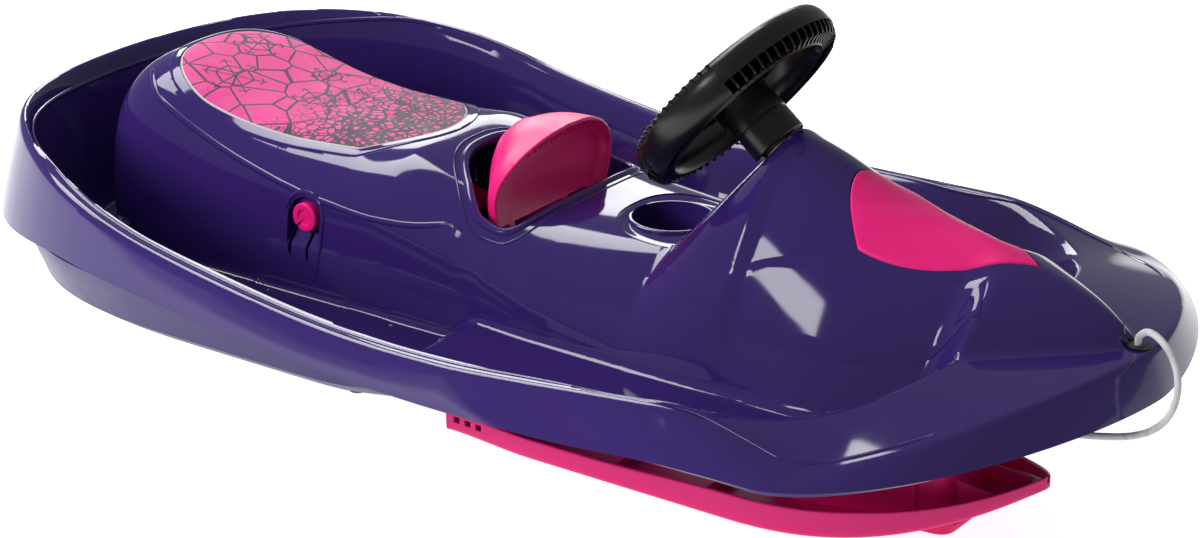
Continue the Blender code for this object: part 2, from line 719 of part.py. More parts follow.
def make_upper_hull():
    hull = sheet_object("upper_hull", skin_grid([hull_column(*c) for c in grid_columns()]), "hull_purple")
    thicken(hull, WALL)
    for name, _, outline, span, sink, thickness in cover_parts():
        depth = sink - thickness - PATCH_GAP
        backing = grown(outline, PATCH_GAP + WALL)
        join(hull, f"{name}_backing", patch_mesh(backing, *span, -BACKING_SINK, -BACKING_THICKNESS, (0.0, 0.5, 1.0)),
             "MANIFOLD")
        recess = grown(outline, PATCH_GAP)
        cut(hull, f"{name}_recess", patch_mesh(recess, *span, 0.02, depth, (0.0, 0.25, 0.55, 1.0)), "MANIFOLD")
    deck = spine_height(CUP_X)
    cup_floor = deck - CUP_DEPTH
    join(hull, "cup_wall", turned([(0, cup_floor - WALL), (CUP_RADIUS + WALL, cup_floor - WALL),
                                   (CUP_RADIUS + WALL, deck - 0.001), (0, deck - 0.001)],
                                  (CUP_X, 0, 0), (0, 0, 1), 32))
    for number, (x, y) in enumerate(tower_sites()):
        under = floor_underside(x)
        join(hull, f"pilot_boss_{number}", turned([(0, under - TOWER_LAP), (TOWER_RADIUS, under - TOWER_LAP),
                                                   (TOWER_RADIUS, under + 0.003), (0, under + 0.003)],
                                                  (x, y, 0), (0, 0, 1), 12))
    for number, (x, y) in enumerate(carrier_sites()):
        foot = carrier_top() + CLEARANCE
        roof = base_height(x, y) - WALL + 0.002
        join(hull, f"carrier_boss_{number}", rod(TOWER_RADIUS, (x, y, foot), (x, y, roof), 12))
    cut(hull, "cup_hole", rod(CUP_RADIUS, (CUP_X, 0, cup_floor), (CUP_X, 0, deck + 0.03), 32))
    cut(hull, "brake_slot", prism(slot_outline(), WELL_FLOOR_REAR, COLLAR_TOP_HEIGHT))
    cut(hull, "collar_hole", rod(BUSH_RADIUS + CLEARANCE, column_point(COLLAR_STATION - 0.022), column_point(COLLAR_STATION + 0.048), 24))
    cut(hull, "cord_hole", rod(CORD_GUIDE_RADIUS + CLEARANCE, (CORD_HOLE_X, 0, WELL_FLOOR_FRONT), (CORD_HOLE_X, 0, COLLAR_TOP_HEIGHT), 16))
    for side in (1, -1):
        name = "left" if side > 0 else "right"
        join(hull, f"pocket_wall_{name}", pocket_solid(side, WALL, POCKET_BACK_Y - WALL, True))
        cut(hull, f"pocket_{name}", pocket_solid(side, 0, POCKET_BACK_Y, False))
        cut(hull, f"axle_hole_{name}", rod(CAP_STEM_RADIUS + CLEARANCE, (AXLE_X, side * 0.10, AXLE_Z),
                                           (AXLE_X, side * 0.15, AXLE_Z), 20))
    for number, (x, y) in enumerate(tower_sites()):
        under = floor_underside(x)
        cut(hull, f"pilot_hole_{number}", rod(SCREW_RADIUS + CLEARANCE, (x, y, under - TOWER_LAP - 0.01),
                                              (x, y, under), 10))
    for number, (x, y) in enumerate(carrier_sites()):
        foot = carrier_top()
        cut(hull, f"carrier_pilot_{number}", rod(SCREW_RADIUS + CLEARANCE, (x, y, foot - 0.01), (x, y, foot + 0.010), 10))
    return hull


def pan_column(angle, side_x):
    shares = [share for share, _ in reversed(PAN_PROFILE)]
    half = HULL_HALF_WIDTH - PAN_INSET
    if angle is None:
        edge = (side_x, half)
        spine = (side_x, 0.0)
    elif side_x > REAR_CENTRE:
        power = 2 / PAN_FRONT_POWER
        edge = (PAN_FRONT_CENTRE + PAN_FRONT_REACH * cos(angle) ** power, half * sin(angle) ** power)
        spine = (PAN_FRONT_CENTRE, 0.0)
    else:
        power = 2 / PAN_REAR_POWER
        edge = (REAR_CENTRE - PAN_REAR_REACH * (-cos(angle)) ** power, half * sin(angle) ** power)
        spine = (REAR_CENTRE, 0.0)
    points = []
    for share in shares:
        x = spine[0] + (edge[0] - spine[0]) * share
        y = spine[1] + (edge[1] - spine[1]) * share
        points.append((x, y, straight_along(PAN_PROFILE, share)))
    return points


def make_lower_hull():
    end, side = 8, 3
    columns = [(pi / 2 * k / end, PAN_FRONT_CENTRE) for k in range(end)]
    columns += [(None, PAN_FRONT_CENTRE + (REAR_CENTRE - PAN_FRONT_CENTRE) * k / side) for k in range(side + 1)]
    columns += [(pi / 2 + pi / 2 * k / end, REAR_CENTRE) for k in range(1, end + 1)]
    pan = sheet_object("lower_hull", skin_grid([pan_column(*c) for c in columns]), "pan_purple")
    thicken(pan, WALL, 1)
    for number, (x, y) in enumerate(tower_sites()):
        top = floor_underside(x) - TOWER_LAP - CLEARANCE
        low = pan_height(x, y)
        join(pan, f"tower_{number}", turned([(0, low + 0.001), (TOWER_RADIUS, low + 0.001), (TOWER_RADIUS, top),
                                             (0, top)], (x, y, 0), (0, 0, 1), 12))
        cut(pan, f"tower_bore_{number}", rod(SCREW_RADIUS + CLEARANCE, (x, y, low - 0.03), (x, y, top + 0.01), 10))
        cut(pan, f"tower_well_{number}", rod(SCREW_HEAD_RADIUS + 0.001, (x, y, low - 0.03),
                                             (x, y, screw_seat(x, y)), 12))
    for side in (1, -1):
        y = side * CLAW_Y
        cut(pan, f"claw_slot_{side}", block((CLAW_SLOT[0], y - CLAW_SLOT_HALF_WIDTH, -0.02),
                                            (CLAW_SLOT[1], y + CLAW_SLOT_HALF_WIDTH, 0.03)))
    return pan


def pan_share(x, y):
    return outline_share(x, y, 0, PAN_FRONT_REACH, PAN_REAR_REACH, HULL_HALF_WIDTH - PAN_INSET, PAN_FRONT_CENTRE,
                         PAN_FRONT_POWER, PAN_REAR_POWER)


def pan_height(x, y):
    return straight_along(PAN_PROFILE, pan_share(x, y))


def screw_seat(x, y):
    """Height of the ledge that a hull screw's head bears on."""
    return pan_height(x, y) + 0.016


def screw(name, x, y, seat, tip, head=SCREW_HEAD_RADIUS, radius=SCREW_RADIUS):
    """Screw driven upwards: its head hangs below the seat and its tip points up."""
    profile = [(0, seat - 0.003), (head, seat - 0.003), (head, seat - CLEARANCE), (radius, seat - CLEARANCE),
               (radius, tip - 0.002), (0, tip)]
    return from_bmesh(name, turned(profile, (x, y, 0), (0, 0, 1), 12), "steel")


def make_hull_screws():
    for number, (x, y) in enumerate(tower_sites(), 1):
        screw(f"hull_screw_{number}", x, y, screw_seat(x, y), floor_underside(x) - 0.001)


def make_covers():
    for name, colour, outline, span, sink, thickness in cover_parts():
        from_bmesh(name, patch_mesh(outline, *span, sink, sink - thickness, (0.0, 0.25, 0.55, 1.0)), colour)


def make_wheel():
    hub = column_frame(0)
    outer, wall, depth = WHEEL_RADIUS, RIM_WALL, RIM_DEPTH
    inner = outer - RIM_WIDTH
    profile = [(outer, depth * 0.55), (outer, -depth * 0.10), (outer - 0.004, -depth * 0.30),
               (outer - 0.012, -depth * 0.40), (inner + 0.004, -depth * 0.28), (inner, -depth * 0.05),
               (inner, depth * 0.30), (inner + wall, depth * 0.30), (inner + wall, -depth * 0.02),
               (inner + 0.008, -depth * 0.16), (outer - 0.012, -depth * 0.26), (outer - wall, -depth * 0.10),
               (outer - wall, depth * 0.55)]
    bm = turned(profile, column_point(0), column_point(1) - column_point(0), 30)
    wheel = from_bmesh("steering_wheel", bm, "black")
    spoke_end = inner + wall * 0.6
    spoke_start = HUB_RADIUS - 0.002
    spoke_half = 0.013
    for number, turn in enumerate((pi / 2, pi * 7 / 6, -pi / 6)):
        outline = [(spoke_start, -spoke_half), (spoke_end, -spoke_half * 0.8), (spoke_end, spoke_half * 0.8),
                   (spoke_start, spoke_half)]
        frame = hub @ Matrix.Rotation(turn, 4, "Z")
        join(wheel, f"spoke_{number}", prism(outline, 0.002, 0.009, frame))
    hub_end = COLLAR_STATION - CLEARANCE
    join(wheel, "hub", rod(HUB_RADIUS, column_point(-0.004), column_point(hub_end), 24))
    cut(wheel, "hub_bore", rod(COLUMN_RADIUS + CLEARANCE, column_point(0.006), column_point(hub_end + 0.01), 24))
    cut(wheel, "hub_hollow", turned([(COLUMN_RADIUS + 0.004, 0.020), (HUB_RADIUS - 0.003, 0.020),
                                     (HUB_RADIUS - 0.003, hub_end + 0.01), (COLUMN_RADIUS + 0.004, hub_end + 0.01)],
                                    column_point(0), column_point(1) - column_point(0), 24))
    cut(wheel, "screw_bore", rod(SCREW_RADIUS + 0.0008, column_point(WHEEL_SCREW_STATION, -0.005), column_point(WHEEL_SCREW_STATION, -0.04), 10))
    cap = turned([(0, -0.0095), (0.017, -0.0085), (0.0225, -0.0045 - CLEARANCE), (0, -0.0045 - CLEARANCE)],
                 column_point(0), column_point(1) - column_point(0), 32)
    from_bmesh("hub_cap", cap, "black")
    head = turned([(0, 0), (0.0045, 0.0005), (0.0045, 0.0025), (SCREW_RADIUS, 0.0025), (SCREW_RADIUS, 0.0155),
                   (0, 0.0155)], column_point(WHEEL_SCREW_STATION, -HUB_RADIUS - 0.0030),
                  column_point(0, 1) - column_point(0, 0), 12)
    from_bmesh("wheel_screw", head, "steel")


def make_column():
    top = column_point(0.0065)
    end = column_point(COLUMN_LENGTH)
    column = from_bmesh("steering_column", rod(COLUMN_RADIUS, top, end, 24), "steel")
    cut(column, "column_hollow", rod(COLUMN_RADIUS - 0.002, column_point(0.03), column_point(0.30), 20))
    cut(column, "column_screw_hole", rod(SCREW_RADIUS + CLEARANCE, column_point(WHEEL_SCREW_STATION, 0),
                                             column_point(WHEEL_SCREW_STATION, -0.03), 10))
    bore = COLUMN_RADIUS + 0.0003
    face = COLLAR_STATION
    bush = turned([(bore, face - 0.0006 + 0.0010), (BUSH_RADIUS, face + 0.0004), (BUSH_RADIUS, face + 0.022),
                   (bore, face + 0.022)], column_point(0), column_point(1) - column_point(0), 24)
    from_bmesh("upper_bush", bush, "nylon")
    lower = BRACKET_STATION
    bush = turned([(bore, lower - 0.003), (0.016, lower - 0.003), (0.016, lower - CLEARANCE),
                   (0.0135, lower - CLEARANCE), (0.0135, lower + BRACKET_THICKNESS), (bore, lower + BRACKET_THICKNESS)],
                  column_point(0), column_point(1) - column_point(0), 24)
    from_bmesh("lower_bush", bush, "nylon")


def carrier_top():
    return WELL_FLOOR_FRONT - WALL - CARRIER_DROP


def make_bracket():
    """Plate square to the column, with a foot on the carrier."""
    frame = column_frame(BRACKET_STATION)
    rise = cos(pi / 2 - COLUMN_TILT)
    height = (column_point(BRACKET_STATION).z - carrier_top() - CLEARANCE) / rise
    half = BRACKET_HALF_WIDTH
    outline = [(-half, -height + 0.006), (half, -height + 0.006), (half, -0.020), (0.022, 0.018), (0.010, 0.024),
               (-0.010, 0.024), (-0.022, 0.018), (-half, -0.020)]
    bracket = from_bmesh("column_bracket", prism(outline, 0, BRACKET_THICKNESS, frame), "black")
    foot_x = column_point(BRACKET_STATION, -height).x
    floor = carrier_top() + CLEARANCE
    join(bracket, "bracket_foot", block((foot_x - 0.008, -half, floor), (foot_x + 0.034, half, floor + 0.006)))
    cut(bracket, "bush_seat", rod(0.0135 + CLEARANCE, column_point(BRACKET_STATION - 0.02),
                                  column_point(BRACKET_STATION + 0.02), 24))
    for side in (1, -1):
        cut(bracket, f"foot_hole_{side}", rod(SCREW_RADIUS + CLEARANCE, (foot_x, side * 0.028, floor - 0.01),
                                              (foot_x, side * 0.028, floor + 0.02), 10))
    for number, side in enumerate((1, -1), 1):
        seat = carrier_top() - CARRIER_THICKNESS
        screw(f"bracket_screw_{number}", foot_x, side * 0.028, seat, floor + 0.009)
    return foot_x


def make_carrier(foot_x):
    top = carrier_top()
    low = top - CARRIER_THICKNESS
    carrier = from_bmesh("steering_carrier", block((CARRIER_REAR_X, -CARRIER_HALF_WIDTH, low),
                                                   (CARRIER_FRONT_X, CARRIER_HALF_WIDTH, top)), "black")
    boss_top = BALL_Z - ARM_THICKNESS / 2 - CLEARANCE
    boss = turned([(0, top - 0.004), (CARRIER_BOSS_RADIUS, top - 0.004), (CARRIER_BOSS_RADIUS, boss_top),
                   (0, boss_top)], (SPINDLE_X, 0, 0), (0, 0, 1), 24)
    join(carrier, "spindle_boss", boss)
    for number, turn in enumerate((0.25 * pi, 0.75 * pi, 1.25 * pi, 1.75 * pi)):
        u, v = cos(turn), sin(turn)
        frame = Matrix.Translation((SPINDLE_X, 0, 0)) @ Matrix.Rotation(turn, 4, "Z") @ Matrix.Rotation(pi / 2, 4, "X")
        web = [(CARRIER_BOSS_RADIUS - 0.003, top - 0.001), (0.044, top - 0.001), (CARRIER_BOSS_RADIUS - 0.003, boss_top - 0.012)]
        join(carrier, f"web_{number}", prism(web, -0.002, 0.002, frame))
    cut(carrier, "spindle_bore", rod(SPINDLE_RADIUS + 0.0003, (SPINDLE_X, 0, low - 0.02),
                                      (SPINDLE_X, 0, boss_top + 0.02), 24))
    for number, (x, y) in enumerate(carrier_sites()):
        cut(carrier, f"carrier_hole_{number}", rod(SCREW_RADIUS + CLEARANCE, (x, y, low - 0.01), (x, y, top + 0.01), 10))
        screw(f"carrier_screw_{number + 1}", x, y, low, top + 0.0085)
    for side in (1, -1):
        cut(carrier, f"bracket_hole_{side}", rod(SCREW_RADIUS + CLEARANCE, (foot_x, side * 0.028, low - 0.01),
                                                 (foot_x, side * 0.028, top + 0.01), 10))
    _, cord_y, cord_z = CORD_ROUTE[-1]
    join(carrier, "cord_tab", block((CARRIER_FRONT_X - 0.009, cord_y - 0.013, top - 0.001),
                                    (CARRIER_FRONT_X - 0.001, cord_y + 0.013, cord_z + 0.016)))
    cut(carrier, "cord_bore", rod(CORD_RADIUS + CLEARANCE, (CARRIER_FRONT_X - 0.02, cord_y, cord_z),
                                  (CARRIER_FRONT_X + 0.01, cord_y, cord_z), 12))


def make_spindle():
    """Upright shaft fixed in the ski, with an arm that reaches back to the fork."""
    half = ARM_THICKNESS / 2
    tip = BALL_Z + half + 0.013
    from_bmesh("ski_spindle", rod(SPINDLE_RADIUS, (SPINDLE_X, 0, 0.0085), (SPINDLE_X, 0, tip), 24), "steel")
    radius = 0.014
    outline = [(SPINDLE_X + radius * cos(a), radius * sin(a))
               for a in [-0.65 * pi + 1.3 * pi * k / 12 for k in range(13)]]
    outline += [(BALL_X + 0.012, 0.006), (BALL_X + 0.012, -0.006)]
    arm = from_bmesh("spindle_arm", prism(outline, BALL_Z - half, BALL_Z + half), "steel")
    join(arm, "arm_neck", rod(0.0035, (BALL_X + 0.014, 0, BALL_Z), (BALL_X, 0, BALL_Z), 12))
    ball = bmesh.new()
    bmesh.ops.create_uvsphere(ball, u_segments=16, v_segments=10, radius=BALL_RADIUS,
                              matrix=Matrix.Translation((BALL_X, 0, BALL_Z)))
    join(arm, "arm_ball", ball)
    cut(arm, "arm_bore", rod(SPINDLE_RADIUS + CLEARANCE, (SPINDLE_X, 0, 0.1), (SPINDLE_X, 0, 0.25), 24))
    washer_low = BALL_Z + half + CLEARANCE
    bore = SPINDLE_RADIUS + CLEARANCE
    from_bmesh("spindle_washer", turned([(bore, washer_low), (0.0135, washer_low), (0.0135, washer_low + 0.0015),
                                         (bore, washer_low + 0.0015)], (SPINDLE_X, 0, 0), (0, 0, 1), 24), "steel")
    nut_low = washer_low + 0.0015 + CLEARANCE
    nut = from_bmesh("spindle_nut", prism([(SPINDLE_X + 0.0125 * cos(pi / 3 * k), 0.0125 * sin(pi / 3 * k))
                                           for k in range(6)], nut_low, nut_low + 0.007), "steel")
    cut(nut, "nut_bore", rod(bore, (SPINDLE_X, 0, 0.1), (SPINDLE_X, 0, 0.25), 24))


def ball_station():
    """Station of the ball along the column, and its distance below the column's axis."""
    offset = Vector((BALL_X, 0, BALL_Z)) - column_point(0)
    down = Vector((sin(COLUMN_TILT), 0, -cos(COLUMN_TILT)))
    station = offset.dot(down)
    return station, (offset - down * station).length


def make_fork():
    station, reach = ball_station()
    frame = column_frame(station)
    half = BALL_RADIUS + FORK_PLAY
    outline = [(-0.0175, 0), (-0.012, -0.020), (-half - FORK_TINE, -reach + 0.012), (-half - FORK_TINE, -reach - 0.011),
               (-half, -reach - 0.011), (-half, -reach + 0.013), (half, -reach + 0.013), (half, -reach - 0.011),
               (half + FORK_TINE, -reach - 0.011), (half + FORK_TINE, -reach + 0.012), (0.012, -0.020), (0.0175, 0),
               (0.012, 0.013), (0, 0.0175), (-0.012, 0.013)]
    fork = from_bmesh("steering_fork", prism(outline, -0.007, 0.007, frame), "steel")
    cut(fork, "fork_bore", rod(COLUMN_RADIUS + CLEARANCE, column_point(station - 0.03), column_point(station + 0.03), 24))


def ski_half(x):
    if x <= SKI_TAPER_X:
        return SKI_HALF_WIDTH * (0.93 + 0.07 * smooth_step(SKI_REAR_X, SKI_REAR_X + 0.10, x))
    run = (x - SKI_TAPER_X) / (SKI_TIP_X - SKI_TAPER_X)
    return SKI_HALF_WIDTH * (1 - run ** 2.1) ** 0.80


def ski_bottom(x):
    run = max(0, (x - SKI_CURVE_X) / (SKI_TIP_X - SKI_CURVE_X))
    return SKI_TIP_RISE * run ** 2.6


def make_ski():
    count = 13
    stations = [SKI_REAR_X + (SKI_TIP_X - 0.002 - SKI_REAR_X) * sin(pi / 2 * k / count) for k in range(count + 1)]
    sections = []
    for x in stations:
        half = ski_half(x)
        z = ski_bottom(x)
        skin = min(SKI_SKIN, half * 0.45)
        wall = along(SKI_WALL, x)
        chamfer = min(SKI_CHAMFER, half * 0.3)
        sections.append([(x, -half, z + wall), (x, -half, z + chamfer), (x, -half + chamfer, z),
                         (x, half - chamfer, z), (x, half, z + chamfer), (x, half, z + wall),
                         (x, half - skin, z + wall), (x, half - skin, z + chamfer),
                         (x, half - chamfer - skin * 0.4, z + SKI_SKIN), (x, -half + chamfer + skin * 0.4, z + SKI_SKIN),
                         (x, -half + skin, z + chamfer), (x, -half + skin, z + wall)])
    ski = from_bmesh("steering_ski", loft(sections), "pink")
    rear_half = SKI_HALF_WIDTH * 0.92
    rear_wall = block((SKI_REAR_X, -rear_half, 0.002), (SKI_REAR_X + SKI_SKIN, rear_half, along(SKI_WALL, SKI_REAR_X)))
    join(ski, "rear_wall", rear_wall)
    low = 0.0015
    half = SKI_BOX_HALF_WIDTH
    outline = [(SKI_BOX_REAR_X, -half), (SKI_BOX_FRONT_X - 0.012, -half * 0.8), (SKI_BOX_FRONT_X, -half * 0.55),
               (SKI_BOX_FRONT_X, half * 0.55), (SKI_BOX_FRONT_X - 0.012, half * 0.8), (SKI_BOX_REAR_X, half)]
    join(ski, "hub_box", prism(outline, low, SKI_BOX_HEIGHT))
    inner = [(SKI_BOX_REAR_X + SKI_SKIN, -half + SKI_SKIN), (SKI_BOX_FRONT_X - 0.014, -half * 0.8 + SKI_SKIN),
             (SKI_BOX_FRONT_X - SKI_SKIN, -half * 0.5), (SKI_BOX_FRONT_X - SKI_SKIN, half * 0.5),
             (SKI_BOX_FRONT_X - 0.014, half * 0.8 - SKI_SKIN), (SKI_BOX_REAR_X + SKI_SKIN, half - SKI_SKIN)]
    floor = SKI_SKIN + 0.012
    cut(ski, "hub_box_hollow", prism(inner, floor, SKI_BOX_HEIGHT + 0.02))
    hub_top = carrier_top() - CARRIER_THICKNESS - CLEARANCE
    join(ski, "hub_post", turned([(0, floor - 0.002), (SKI_HUB_RADIUS, floor - 0.002), (SKI_HUB_RADIUS, hub_top),
                                  (0, hub_top)], (SPINDLE_X, 0, 0), (0, 0, 1), 24))
    for number, x in enumerate(SKI_WEB_PLACES):
        web = block((x - 0.002, -half * 0.85, floor - 0.001), (x + 0.002, half * 0.85, SKI_BOX_HEIGHT - 0.004))
        join(ski, f"box_web_{number}", web)
    join(ski, "long_web", block((SKI_BOX_REAR_X + 0.002, -0.002, floor - 0.001),
                                (SKI_BOX_FRONT_X - 0.002, 0.002, SKI_BOX_HEIGHT - 0.004)))
    for number, x in enumerate(SKI_RIB_PLACES):
        reach = ski_half(x) - 0.001
        join(ski, f"tray_rib_{number}", block((x - 0.0015, -reach, 0.002), (x + 0.0015, reach, 0.012)))
    cut(ski, "spindle_socket", rod(SPINDLE_RADIUS + CLEARANCE, (SPINDLE_X, 0, 0.008), (SPINDLE_X, 0, 0.12), 24))


def handle_rows():
    """Points of the hood's skin, in rows from the lip back to the foot of the hood."""
    spans = [(y, z, back_y, back_x) for (y, z), (back_y, back_x) in zip(LIP, HANDLE_BACK)]
    across = [(-y, z, -by, bx) for y, z, by, bx in reversed(spans[1:])] + spans
    rows = []
    steps = 5
    for n in range(steps + 1):
        turn = pi / 2 * n / steps
        back, up = sin(turn) ** 0.8, cos(turn) ** 0.8
        row = []
        for y, z, back_y, back_x in across:
            lip_x = along(LIP_LEAN, z)
            row.append((lip_x + (back_x - lip_x) * back, y + (back_y - y) * n / steps,
                        HANDLE_FOOT_Z - 0.001 + (z - HANDLE_FOOT_Z + 0.001) * up))
        rows.append(row)
    return rows


def make_lever():
    """Hooded handle, two arms, a cross tube on the axle and the lugs for the claw."""
    bm = bmesh.new()
    rows = [[bm.verts.new(point) for point in row] for row in handle_rows()]
    for one, two in zip(rows, rows[1:]):
        for k in range(len(one) - 1):
            bm.faces.new((one[k], one[k + 1], two[k + 1], two[k]))
    bmesh.ops.remove_doubles(bm, verts=bm.verts, dist=0.0002)
    bmesh.ops.recalc_face_normals(bm, faces=bm.faces)
    if sum(face.normal.z * face.calc_area() for face in bm.faces) < 0:
        bmesh.ops.reverse_faces(bm, faces=bm.faces)
    lever = sheet_object("brake_lever", bm, "pink")
    thicken(lever, HANDLE_WALL)
    to_side = Matrix(((1, 0, 0, 0), (0, 0, 1, 0), (0, 1, 0, 0), (0, 0, 0, 1)))
    for side in (1, -1):
        y = side * LEVER_ARM_Y
        join(lever, f"lever_arm_{side}", prism(LEVER_ARM, y - LEVER_ARM_WIDTH / 2, y + LEVER_ARM_WIDTH / 2, to_side))
    join(lever, "cross_tube", rod(TUBE_RADIUS, (AXLE_X, -TUBE_HALF_LENGTH, AXLE_Z), (AXLE_X, TUBE_HALF_LENGTH, AXLE_Z), 20))
    for side in (1, -1):
        lug = [(0.004, -0.009), (0.060, -0.007), (0.060, 0.007), (0.004, 0.009)]
        low, high = (0.003, 0.008) if side > 0 else (-0.008, -0.003)
        join(lever, f"claw_lug_{side}", prism(lug, low, high, claw_frame(side * CLAW_Y)))
    peg_x = AXLE_X + 0.027
    join(lever, "spring_peg", rod(0.002, (peg_x, LEVER_ARM_Y, AXLE_Z), (peg_x, LEVER_ARM_Y + 0.015, AXLE_Z), 10))
    cut(lever, "axle_bore", rod(AXLE_RADIUS + 0.0003, (AXLE_X, -0.15, AXLE_Z), (AXLE_X, 0.15, AXLE_Z), 20))


def claw_frame(y):
    """Frame with u down the claw, v across it and w to the rider's left."""
    down = Vector((-cos(CLAW_ANGLE), 0, -sin(CLAW_ANGLE)))
    across = Vector((-down.z, 0, down.x))
    return Matrix(((down.x, across.x, 0, AXLE_X), (0, 0, 1, y), (down.z, across.z, 0, AXLE_Z), (0, 0, 0, 1)))


def make_claw():
    """Two steel prongs joined by a bar, bolted to the lever's lugs."""
    frame = claw_frame(0)
    half = CLAW_THICKNESS / 2
    prong = [(0.032, -0.006), (0.165, -0.007), (CLAW_LENGTH, 0.000), (0.160, 0.009), (0.032, 0.006)]
    claw = from_bmesh("brake_claw", prism(prong, CLAW_Y - half, CLAW_Y + half, frame), "steel")
    join(claw, "claw_prong", prism(prong, -CLAW_Y - half, -CLAW_Y + half, frame))
    bar = [(0.085, -0.005), (0.105, -0.005), (0.105, -0.001), (0.085, -0.001)]
    join(claw, "claw_bar", prism(bar, -CLAW_Y, CLAW_Y, frame))
    place = frame @ Vector((0.046, 0, 0))
    for side in (1, -1):
        name = "left" if side > 0 else "right"
        start = place + Vector((0, side * (CLAW_Y - half - CLEARANCE), 0))
        reach = Vector((0, side, 0))
        cut(claw, f"rivet_hole_{name}", rod(0.0030, place, place + reach * 0.05, 12))
        rivet = turned([(0, -0.0025), (0.0045, -0.0020), (0.0045, 0), (0.0026, 0), (0.0026, 0.0118), (0, 0.0118)],
                       start, reach, 16)
        from_bmesh(f"claw_rivet_{name}", rivet, "steel")
        cut(bpy.data.objects["brake_lever"], f"lug_hole_{name}", rod(0.0030, place, place + reach * 0.05, 12))


def make_brake_pivot():
    tip = POCKET_BACK_Y - 0.008
    from_bmesh("brake_axle", rod(AXLE_RADIUS, (AXLE_X, -tip, AXLE_Z), (AXLE_X, tip, AXLE_Z), 20), "steel")
    bore = AXLE_RADIUS + CLEARANCE
    for side in (1, -1):
        name = "left" if side > 0 else "right"
        start = (AXLE_X, side * (POCKET_BACK_Y + CLEARANCE), AXLE_Z)
        profile = [(0, 0.0075), (0.009, 0.0075), (CAP_RADIUS, 0.0045), (CAP_RADIUS, 0), (CAP_STEM_RADIUS, 0),
                   (CAP_STEM_RADIUS, -0.018), (bore, -0.018), (bore, -0.006), (0, -0.006)]
        cap = from_bmesh(f"axle_cap_{name}", turned(profile, start, (0, side, 0), 20), "pink")
        face = side * (POCKET_BACK_Y + 0.008)
        notch = block((AXLE_X - 0.0018, face - 0.0022, AXLE_Z + 0.002), (AXLE_X + 0.0018, face + 0.0022, AXLE_Z + 0.02))
        cut(cap, f"cap_notch_{name}", notch)


def wire_object(name, route, radius, resolution, colour):
    """Round wire through a list of points."""
    curve = bpy.data.curves.new(name, "CURVE")
    curve.dimensions = "3D"
    curve.bevel_depth = radius
    curve.bevel_resolution = resolution
    curve.use_fill_caps = True
    spline = curve.splines.new("POLY")
    spline.points.add(len(route) - 1)
    for point, place in zip(spline.points, route):
        point.co = (*place, 1)
    curve.materials.append(material(colour))
    bpy.context.scene.collection.objects.link(bpy.data.objects.new(name, curve))


def make_spring():
    """Torsion spring round the cross tube: one end hooks on the lever's peg, the other bears under the seat."""
    steps = 10
    pitch = 2 * SPRING_WIRE + 0.0006
    start = LEVER_ARM_Y + 0.010
    points = []
    for k in range(SPRING_TURNS * steps + 1):
        a = pi / 2 + 2 * pi * k / steps
        points.append((AXLE_X + SPRING_RADIUS * cos(a), start + pitch * k / steps, AXLE_Z + SPRING_RADIUS * sin(a)))
    peg_top = AXLE_Z + 0.002 + SPRING_WIRE + CLEARANCE
    hook = (AXLE_X + 0.031, start, peg_top)
    roof = (AXLE_X - 0.030, points[-1][1], body_height(AXLE_X - 0.03, points[-1][1]) - BACKING_THICKNESS - 0.0026)
    wire_object("return_spring", [hook] + points + [roof], SPRING_WIRE, 1, "steel")


def smooth_route(points, spacing):
    """Points at even spacing on a smooth curve through the route."""
    dense = []
    padded = [points[0]] + points + [points[-1]]
    for a, b, c, d in zip(padded, padded[1:], padded[2:], padded[3:]):
        a, b, c, d = Vector(a), Vector(b), Vector(c), Vector(d)
        for k in range(16):
            t = k / 16
            dense.append(0.5 * (2 * b + (c - a) * t + (2 * a - 5 * b + 4 * c - d) * t ** 2
                                + (3 * b - a - 3 * c + d) * t ** 3))
    dense.append(Vector(points[-1]))
    length = sum((q - p).length for p, q in zip(dense, dense[1:]))
    count = max(2, round(length / spacing))
    out, target, run = [dense[0]], length / count, 0.0
    for p, q in zip(dense, dense[1:]):
        step = (q - p).length
        while run + step >= target * len(out) and len(out) < count:
            out.append(p.lerp(q, (target * len(out) - run) / step))
        run += step
    out.append(dense[-1])
    return out, length


def knot_solid(name, centre, radius, axis):
    """Stopper knot: a squat turned lump."""
    profile = [(0, -radius)] + [(radius * cos(a), radius * sin(a)) for a in (-1.0, -0.5, 0, 0.5, 1.0)] + [(0, radius)]
    from_bmesh(name, turned(profile, centre, axis, 16), "cord_grey")


def make_cord():
    route, _ = smooth_route(CORD_ROUTE, CORD_RADIUS * 4.5)
    wire_object("tow_cord", route, CORD_RADIUS, 2, "cord_grey")
    deck = body_height(CORD_HOLE_X, 0)
    bore = CORD_RADIUS + 2 * CLEARANCE
    flange = deck + 0.0009
    foot = deck - WALL - 0.003
    guide = turned([(bore, flange + 0.0016), (0.0095, flange + 0.0010), (0.0095, flange), (CORD_GUIDE_RADIUS, flange),
                    (CORD_GUIDE_RADIUS, foot), (bore, foot)], (CORD_HOLE_X, 0, 0), (0, 0, 1), 16)
    from_bmesh("cord_guide", guide, "black")
    knot_solid("deck_knot", (CORD_HOLE_X, 0, foot - KNOT_RADIUS - CLEARANCE), KNOT_RADIUS, (0, 0, 1))
    _, cord_y, cord_z = CORD_ROUTE[-1]
    knot_x = CARRIER_FRONT_X - 0.009 - KNOT_RADIUS - CLEARANCE
    knot_solid("carrier_knot", (knot_x, cord_y, cord_z), KNOT_RADIUS, (1, 0, 0))


def build():
    clear_scene()
    make_upper_hull()
    make_lower_hull()
    make_hull_screws()
    make_covers()
    make_wheel()
    make_column()
    foot_x = make_bracket()
    make_carrier(foot_x)
    make_spindle()
    make_fork()
    make_ski()
    make_lever()
    make_claw()
    make_brake_pivot()
    make_spring()
    make_cord()


build()
